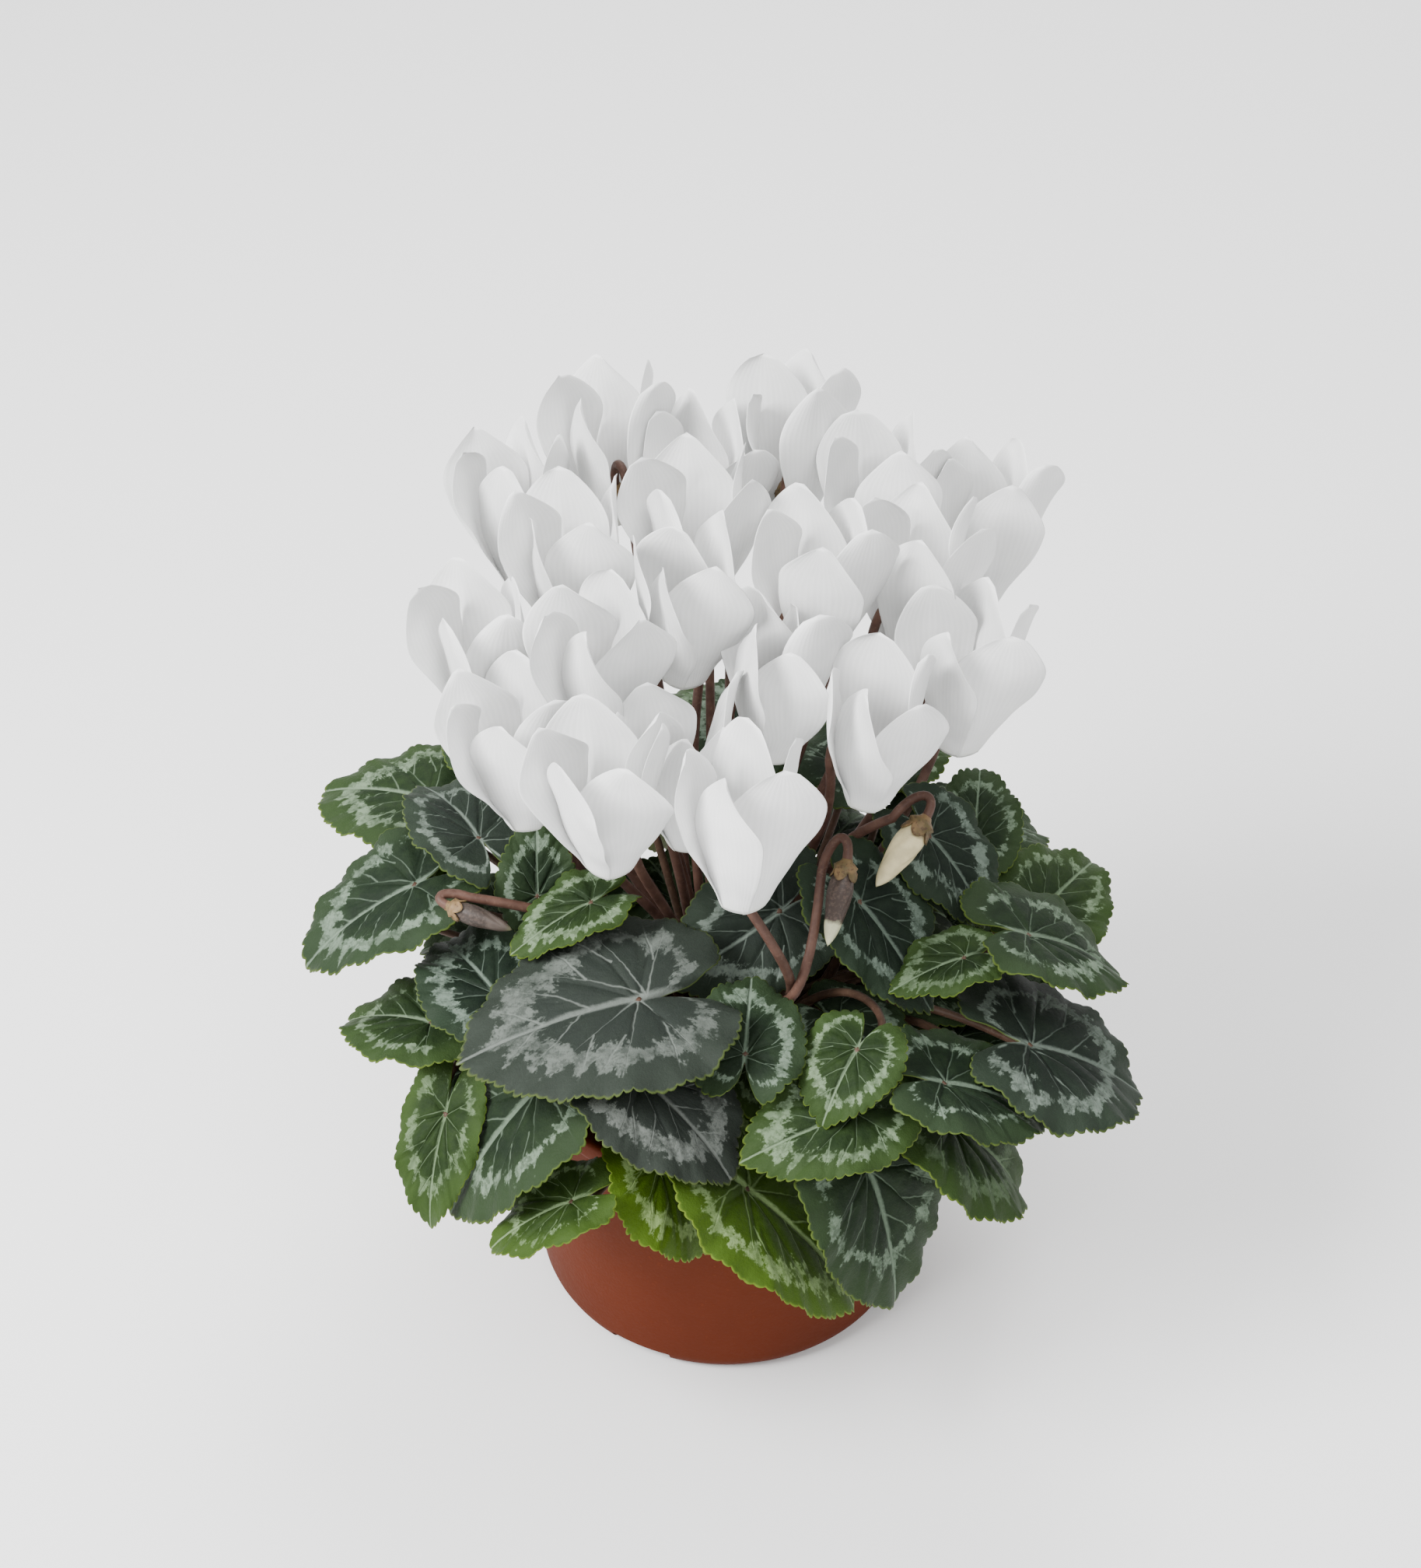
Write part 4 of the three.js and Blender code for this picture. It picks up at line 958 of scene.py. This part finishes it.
youngStyle = {"root": 14, "rise": 12, "reach": 10, "green": 0.2, "silver": 0.6, "roll": 14, "narrow": 0.75}
knobProfile = [(0, -2), (2.6, -2), (3, 0), (2.8, 3), (1.8, 4.6), (0, 5)]
rimSteps = {"leaf": 15, "fan": 20}   # degrees between the solid blade's rim corners


def leafFrame(leaf, way):
    attach, tip = np.array(leaf["attach"], float), np.array(leaf["tip"], float)
    out = unit((attach + tip) / 2 - plant["crown"])
    along = tip - attach
    length = np.linalg.norm(along)
    along = along / length
    face = unit(upward - along * along[2])
    across = turnedAbout(np.cross(along, face), along, way["roll"] + leaf.get("roll", 0))
    along = turnedAbout(along, across, way["tilt"])
    return {"origin": attach + out * way["slide"], "along": along, "across": across,
            "rise": np.cross(across, along), "length": length}


def heartReach(angle):
    away = np.abs(angle)
    heart = 0.57 + 0.09 * np.cos(np.radians(away - 70)) + 0.4 * np.exp(-((away / 38) ** 1.5))
    return heart * (1 - 0.83 * np.exp(-(((180 - away) / 14) ** 2)))


def bladePoint(leaf, shape, share, angle, lift, stretch=1.0):
    length = shape["length"]
    reach = heartReach(angle) * share * length * stretch
    aside = reach * np.sin(np.radians(angle)) * leaf["width"]
    ahead = reach * np.cos(np.radians(angle))
    height = (leafStyle["fold"] * np.abs(aside) - leafStyle["cup"] * aside ** 2 / length
              + leafStyle["arch"] * ahead * (length - ahead) / length
              + leafStyle["wave"] * length * share ** 2 * np.sin(5 * np.radians(angle) + leaf["phase"]))
    return (shape["origin"] + shape["across"] * aside[..., None] + shape["along"] * ahead[..., None]
            + shape["rise"] * (height + lift)[..., None])


def leafWay(leaf, cloud, step):
    share = np.array([0, 0.5, 0.5, 0.5, 0.5, 1, 1, 1, 1])
    angle = np.array([0, 0, 60, 180, -120, 0, 4 * step, 6 * step, -6 * step], float)
    lift = np.full(len(share), 0.5)

    def score(way):
        points = bladePoint(leaf, leafFrame(leaf, way), share, angle, lift)
        return -np.minimum(nearness(points, cloud), 3).sum()

    return max(leafWays, key=score)


def veinGap(across, along):  # how far off the nearest side vein is, in leaf lengths, for meshes and finishes
    across = abs(across)
    nearest = None
    for fromAcross, fromAlong, turn, curl in veins:
        sine, cosine = math.sin(math.radians(turn)), math.cos(math.radians(turn))
        ahead = (across - fromAcross) * sine + (along - fromAlong) * cosine
        off = (across - fromAcross) * cosine - (along - fromAlong) * sine + ahead * ahead * curl
        gap = abs(off) + abs(ahead) - ahead * 0.985       # nothing behind the start, thinner on the way out
        nearest = gap if nearest is None else (nearest + gap - abs(nearest - gap)) * 0.5
    return nearest


def toothedRim(leaf, length):  # the angle of each column, how deep its tooth gap goes, and a slower ruffle
    fine = np.linspace(-180, 180, 1441)
    reach, turn = heartReach(fine), np.radians(fine)
    outline = np.stack([reach * np.sin(turn) * leaf["width"], reach * np.cos(turn)], axis=-1)
    travelled = np.concatenate([[0], np.cumsum(np.linalg.norm(np.diff(outline, axis=0), axis=1))])
    teeth = int(round(travelled[-1] * length / leafStyle["toothPitch"]))
    steps = np.linspace(0, 1, teeth * 4 + 1)
    angle = np.interp(steps * travelled[-1], travelled, fine)
    calm = np.clip((180 - np.abs(angle)) / 20, 0, 1)
    tooth = 1 - np.abs(np.sin(math.pi * teeth * steps)) ** 0.7
    tooth = tooth * (1 + 0.35 * np.sin(5.3 * teeth * steps + leaf["phase"]))
    ruffle = np.sin(2 * math.pi * teeth * steps / 5 + leaf["phase"])
    return angle[None, :], (tooth * calm)[None, :], (ruffle * calm)[None, :]


def bladeRings(leaf, shape):
    length = shape["length"]
    angle, tooth, ruffle = toothedRim(leaf, length)
    top, under = leafStyle["topRows"], leafStyle["underRows"]
    share = np.array(top + under)[:, None]
    side = np.array([1.0] * (len(top) - 1) + [0.0] + [-1.0] * len(under))[:, None]
    nearRim = np.clip((share - 0.9) / 0.1, 0, 1)
    point = leafStyle["point"] * np.exp(-(angle / leafStyle["pointAngle"]) ** 2) * share ** 6
    stretch = 1.004 - leafStyle["toothDepth"] / length * tooth * nearRim + point
    reach = heartReach(angle) * share
    across, along = reach * np.sin(np.radians(angle)), reach * np.cos(np.radians(angle))
    gap = np.minimum(veinGap(across, along), np.abs(across))
    swell = np.sin(math.pi * np.clip(share, 0, 1)) ** 0.6
    quilt = np.clip(gap / leafStyle["quiltWidth"], 0, 1) * leafStyle["quilt"] * swell
    groove = leafStyle["groove"] * np.exp(-(gap / leafStyle["grooveWidth"]) ** 2) * (1 - share)
    thick = leafStyle["rim"] + (leafStyle["thick"] - leafStyle["rim"]) * (1 - share ** 5)
    lift = side * thick + quilt * 0.6 - groove - 0.15 + leafStyle["ruffle"] * share ** 8 * ruffle
    rings = bladePoint(leaf, shape, *np.broadcast_arrays(share, angle, lift, stretch))
    marks = {
        "leafAcross": across,
        "leafAlong": along,
        "leafShare": share,
        "leafTop": (side > -0.5).astype(float),
        "leafGreen": leaf["green"],
        "leafSeed": leaf["phase"],
        "leafSilver": leaf.get("silver", 1.0),
    }
    return rings, marks


def petioleCurve(shape, bend, standOff, root):
    end = shape["origin"] - shape["rise"] * standOff
    bearing = bearingOf(end)
    side = around(bearing + 90)
    return (root, root + upward * bend["rise"] + around(bearing) * 12 + side * bend["sway"],
            end - shape["rise"] * bend["reach"] + side * bend["sway"], end)


def petioleRings(shape, rootOf, standOff, cloud):
    coarse = np.linspace(0, 1, 61)

    def line(bend, shares):
        return evenly(bezier(*petioleCurve(shape, bend, standOff, rootOf(bend)), coarse), shares)

    def match(bend):
        return onRing(line(bend, [1 / 3, 2 / 3]), leafStyle["petioleRadius"], cloud)

    steps = np.linspace(0, 1, stalkStyle["petioleSteps"])
    points = line(max(petioleBends, key=match), steps)
    points = np.concatenate([points, [shape["origin"] + shape["rise"] * 0.1]])
    radii = stalkStyle["petioleRadius"] * (1.12 - 0.3 * np.append(steps, 1.15))
    return tubeRings(points, radii, stalkStyle["petioleSides"])


leafTones = {   # of a dull leaf, a fresh one, a bright one and a grey one; the grey is painted sheen of light
    "heart": ((0.0065, 0.0118, 0.0075), (0.016, 0.036, 0.004), (0.038, 0.076, 0.004), (0.023, 0.028, 0.024)),
    "margin": ((0.018, 0.030, 0.017), (0.046, 0.092, 0.006), (0.060, 0.112, 0.008), (0.024, 0.029, 0.024)),
    "light": ((0.125, 0.165, 0.132), (0.170, 0.255, 0.095), (0.240, 0.340, 0.125), (0.138, 0.147, 0.136)),
}
rimTone = (0.120, 0.175, 0.018)
underTones = ((0.050, 0.072, 0.018), (0.085, 0.105, 0.034))
underVein = (0.16, 0.17, 0.07)


def leafFinish():
    skin = Finish("leafSkin", {"Specular IOR Level": 0.09})
    across, along, share = skin.mark("leafAcross"), skin.mark("leafAlong"), skin.mark("leafShare")
    green, seed, top = skin.mark("leafGreen"), skin.mark("leafSeed"), skin.mark("leafTop")
    reach = (across * across + along * along) ** 0.5
    away = abs(skin.node("ShaderNodeMath", {"operation": "ARCTAN2"}, {0: across, 1: along}))
    turned = skin.node("ShaderNodeCombineXYZ", {}, {0: away * 11 + seed * 7, 1: reach * 9, 2: seed * 3})
    streak = skin.grain(1.0, 4, 0.7, turned)
    fine = skin.grain(900, 4, 0.7)
    mottle = skin.grain(260, 4, 0.65)
    patch = skin.grain(120, 3, 0.6)
    wander = skin.grain(50, 1)
    # veins: the side veins wander, and the midrib narrows towards the tip
    side = across.step(-0.01, 0.01)
    shifted = across + (wander - 0.5) * 0.07 + (mottle - 0.5) * 0.012
    gap = veinGap(shifted, along + side * 0.05 + (patch - 0.5) * 0.05)
    width = 0.036 - along * 0.022
    offRib = abs(across + (wander - 0.5) * 0.03 + (streak - 0.5) * 0.02) + (fine - 0.5) * 0.012
    rib = 1 - offRib.step(width * 0.35, width)
    vein = (1 - gap.step(0.002, 0.012)) * (1 - share.step(0.62, 0.9)) * patch.step(0.25, 0.45)
    # silver band: round the middle of the blade, wider beside the veins, and ragged
    near = (1 - gap.step(0.0, 0.08)).most(1 - abs(across).step(0.0, 0.10))
    rough = (streak - 0.5) * 0.40 + (mottle - 0.5) * 0.26 + (fine - 0.5) * 0.10
    # painted sheen: a green below 0 greys the leaf in place of the sheen of light on leaves that face the
    # lamps; the same amount also widens the silver band and lightens the veins
    paintedSheen = 0 - green
    middle = 0.67 + (wander - 0.5) * 0.36 + (seed * 3).sine() * 0.03
    half = 0.050 + near * (0.04 + share.step(0.6, 0.75) * 0.06) + (patch - 0.5) * 0.32
    half = half + (seed * 5).sine() * 0.02 + paintedSheen.most(0) * 0.05
    silver = (half - abs(share - middle) + rough).step(0.0, 0.06)
    silver = silver * (0.45 + (mottle + fine).step(0.85, 1.1) * 0.5) * skin.mark("leafSilver")
    silver = silver * (0.55 + patch.step(0.35, 0.6) * 0.45)

    def leafTone(name):
        dull, fresh, bright, paintedSheenTone = leafTones[name]
        tone = skin.blend(green, dull, fresh)
        # painted sheen: leaves with green below 0 are blended towards the grey tone
        return skin.blend(paintedSheen, skin.blend(green * 2 - 1, tone, bright), paintedSheenTone)

    margin, light = leafTone("margin"), leafTone("light")
    tone = skin.blend(share.step(0.45, 0.9) * 0.8, leafTone("heart"), margin)
    tone = skin.blend(((patch + mottle) * 0.5 - 0.44).most(0) * 2.0, tone, margin)
    tone = skin.blend(silver, tone, light)
    tone = skin.blend(vein * (0.5 + paintedSheen.most(0) * 0.3), tone, light)
    tone = skin.blend(rib * (0.95 - fine * 0.35), tone, light)
    tone = skin.blend(share.step(0.972, 0.998) * (0.35 + green.most(0) * 0.5), tone, rimTone)
    under = skin.blend(mottle.step(0.3, 0.7), *underTones)
    under = skin.blend(vein.most(rib) * 0.6, under, underVein)
    skin.feed("Base Color", skin.blend(top.step(0.4, 0.6), under, tone))
    skin.feed("Roughness", 0.50 + fine * 0.15 + silver * 0.15)
    skin.relief(fine * 0.7 + mottle * 0.9 - vein.most(rib) * 0.8, 0.5, 0.0007)
    return skin


leafMarks = ("leafAcross", "leafAlong", "leafShare", "leafTop", "leafGreen", "leafSeed", "leafSilver", "rise")
stalkRise = np.linspace(0.75, 0.25, stalkStyle["petioleSteps"] + 3)[:, None]
leafPaint = leafFinish()
petioleShell = Shells("rise")
for index, leaf in enumerate(leaves):
    node = f"leaf_{index + 1:02d}"
    leaf["phase"] = 2 * math.pi * spread(index)
    shape = leafFrame(leaf, leafWay(leaf, solidPoints(node), rimSteps["leaf"]))
    rings, marks = bladeRings(leaf, shape)
    shell = Shells(*leafMarks)
    shell.loft(rings, **marks)
    shell.piece(f"leafBlade{index + 1:02d}", [leafPaint], [node])
    bearing, radius = bearingOf(leaf["attach"]), leafStyle["crownRadii"][index % 2]

    def rootAt(bend):
        return crownPoint(bearing + bend["turn"], radius)

    petioleShell.loft(petioleRings(shape, rootAt, leafStyle["standOff"], tuberCloud), rise=stalkRise)
petioleShell.piece("leafStalks", [stalkPaint], ["tuber_with_stalks"])
print("leaves made")


def bladeFrom(bearing, out, height, length, droop, width, phase, **looks):
    away, fall = around(bearing), math.radians(droop)
    attach = away * out + upward * height
    tip = attach + away * length * math.cos(fall) - upward * length * math.sin(fall)
    return {"attach": attach, "tip": tip, "width": width, "phase": 2 * math.pi * phase, **looks}


for order, (name, node, bearing, blades) in enumerate(fans):
    cloud = solidPoints(node)
    shell = Shells(*leafMarks)
    root = crownPoint(bearing, fanRoot)
    for k, (turn, *row) in enumerate(blades):
        phase = spread(order * len(backBlades) + k, 0.37)
        leaf = bladeFrom(bearing + turn, *row, phase, green=0.25 + 0.25 * spread(order * 7 + k, 0.29))
        shape = leafFrame(leaf, leafWay(leaf, cloud, rimSteps["fan"]))
        rings, marks = bladeRings(leaf, shape)
        shell.loft(rings, rise=0.0, **marks)
        shell.loft(petioleRings(shape, lambda bend: root, 0, cloud), slot=1, rise=stalkRise)
    shell.loft(turnedRings(knobProfile, 20) + root, slot=1, rise=0.75)
    shell.piece(name, [leafPaint, stalkPaint], [node])
print("leaf fans made")

shell = Shells(*leafMarks)
steps = np.linspace(0, 1, stalkStyle["petioleSteps"])
for k, row in enumerate(youngBlades):
    leaf = bladeFrom(*row, spread(k, 0.47), green=youngStyle["green"], silver=youngStyle["silver"])
    shape = leafFrame(leaf, {"slide": 0, "roll": youngStyle["roll"] * spread(k, 0.23), "tilt": 0})
    rings, marks = bladeRings(leaf, shape)
    shell.loft(rings, rise=0.0, **marks)
    root, end = crownPoint(row[0], youngStyle["root"]), leaf["attach"] + shape["rise"] * 0.1
    bends = root + upward * youngStyle["rise"], end - shape["rise"] * youngStyle["reach"]
    line = bezier(root, *bends, end, steps)
    radii = stalkStyle["petioleRadius"] * np.linspace(1, youngStyle["narrow"], len(line))
    shell.loft(tubeRings(line, radii, stalkStyle["petioleSides"]), slot=1, rise=0.6)
shell.piece("youngLeaves", [leafPaint, stalkPaint], [])
print("young leaves made")

# floor

ground = bmesh.new()
bmesh.ops.create_grid(ground, x_segments=1, y_segments=1, size=studio["floorSize"])
floor = meshObject("floor", ground)
paleFloor = Finish("paleFloor", {"Base Color": (*studio["floor"], 1), "Roughness": 0.9})
floor.data.materials.append(paleFloor.material)
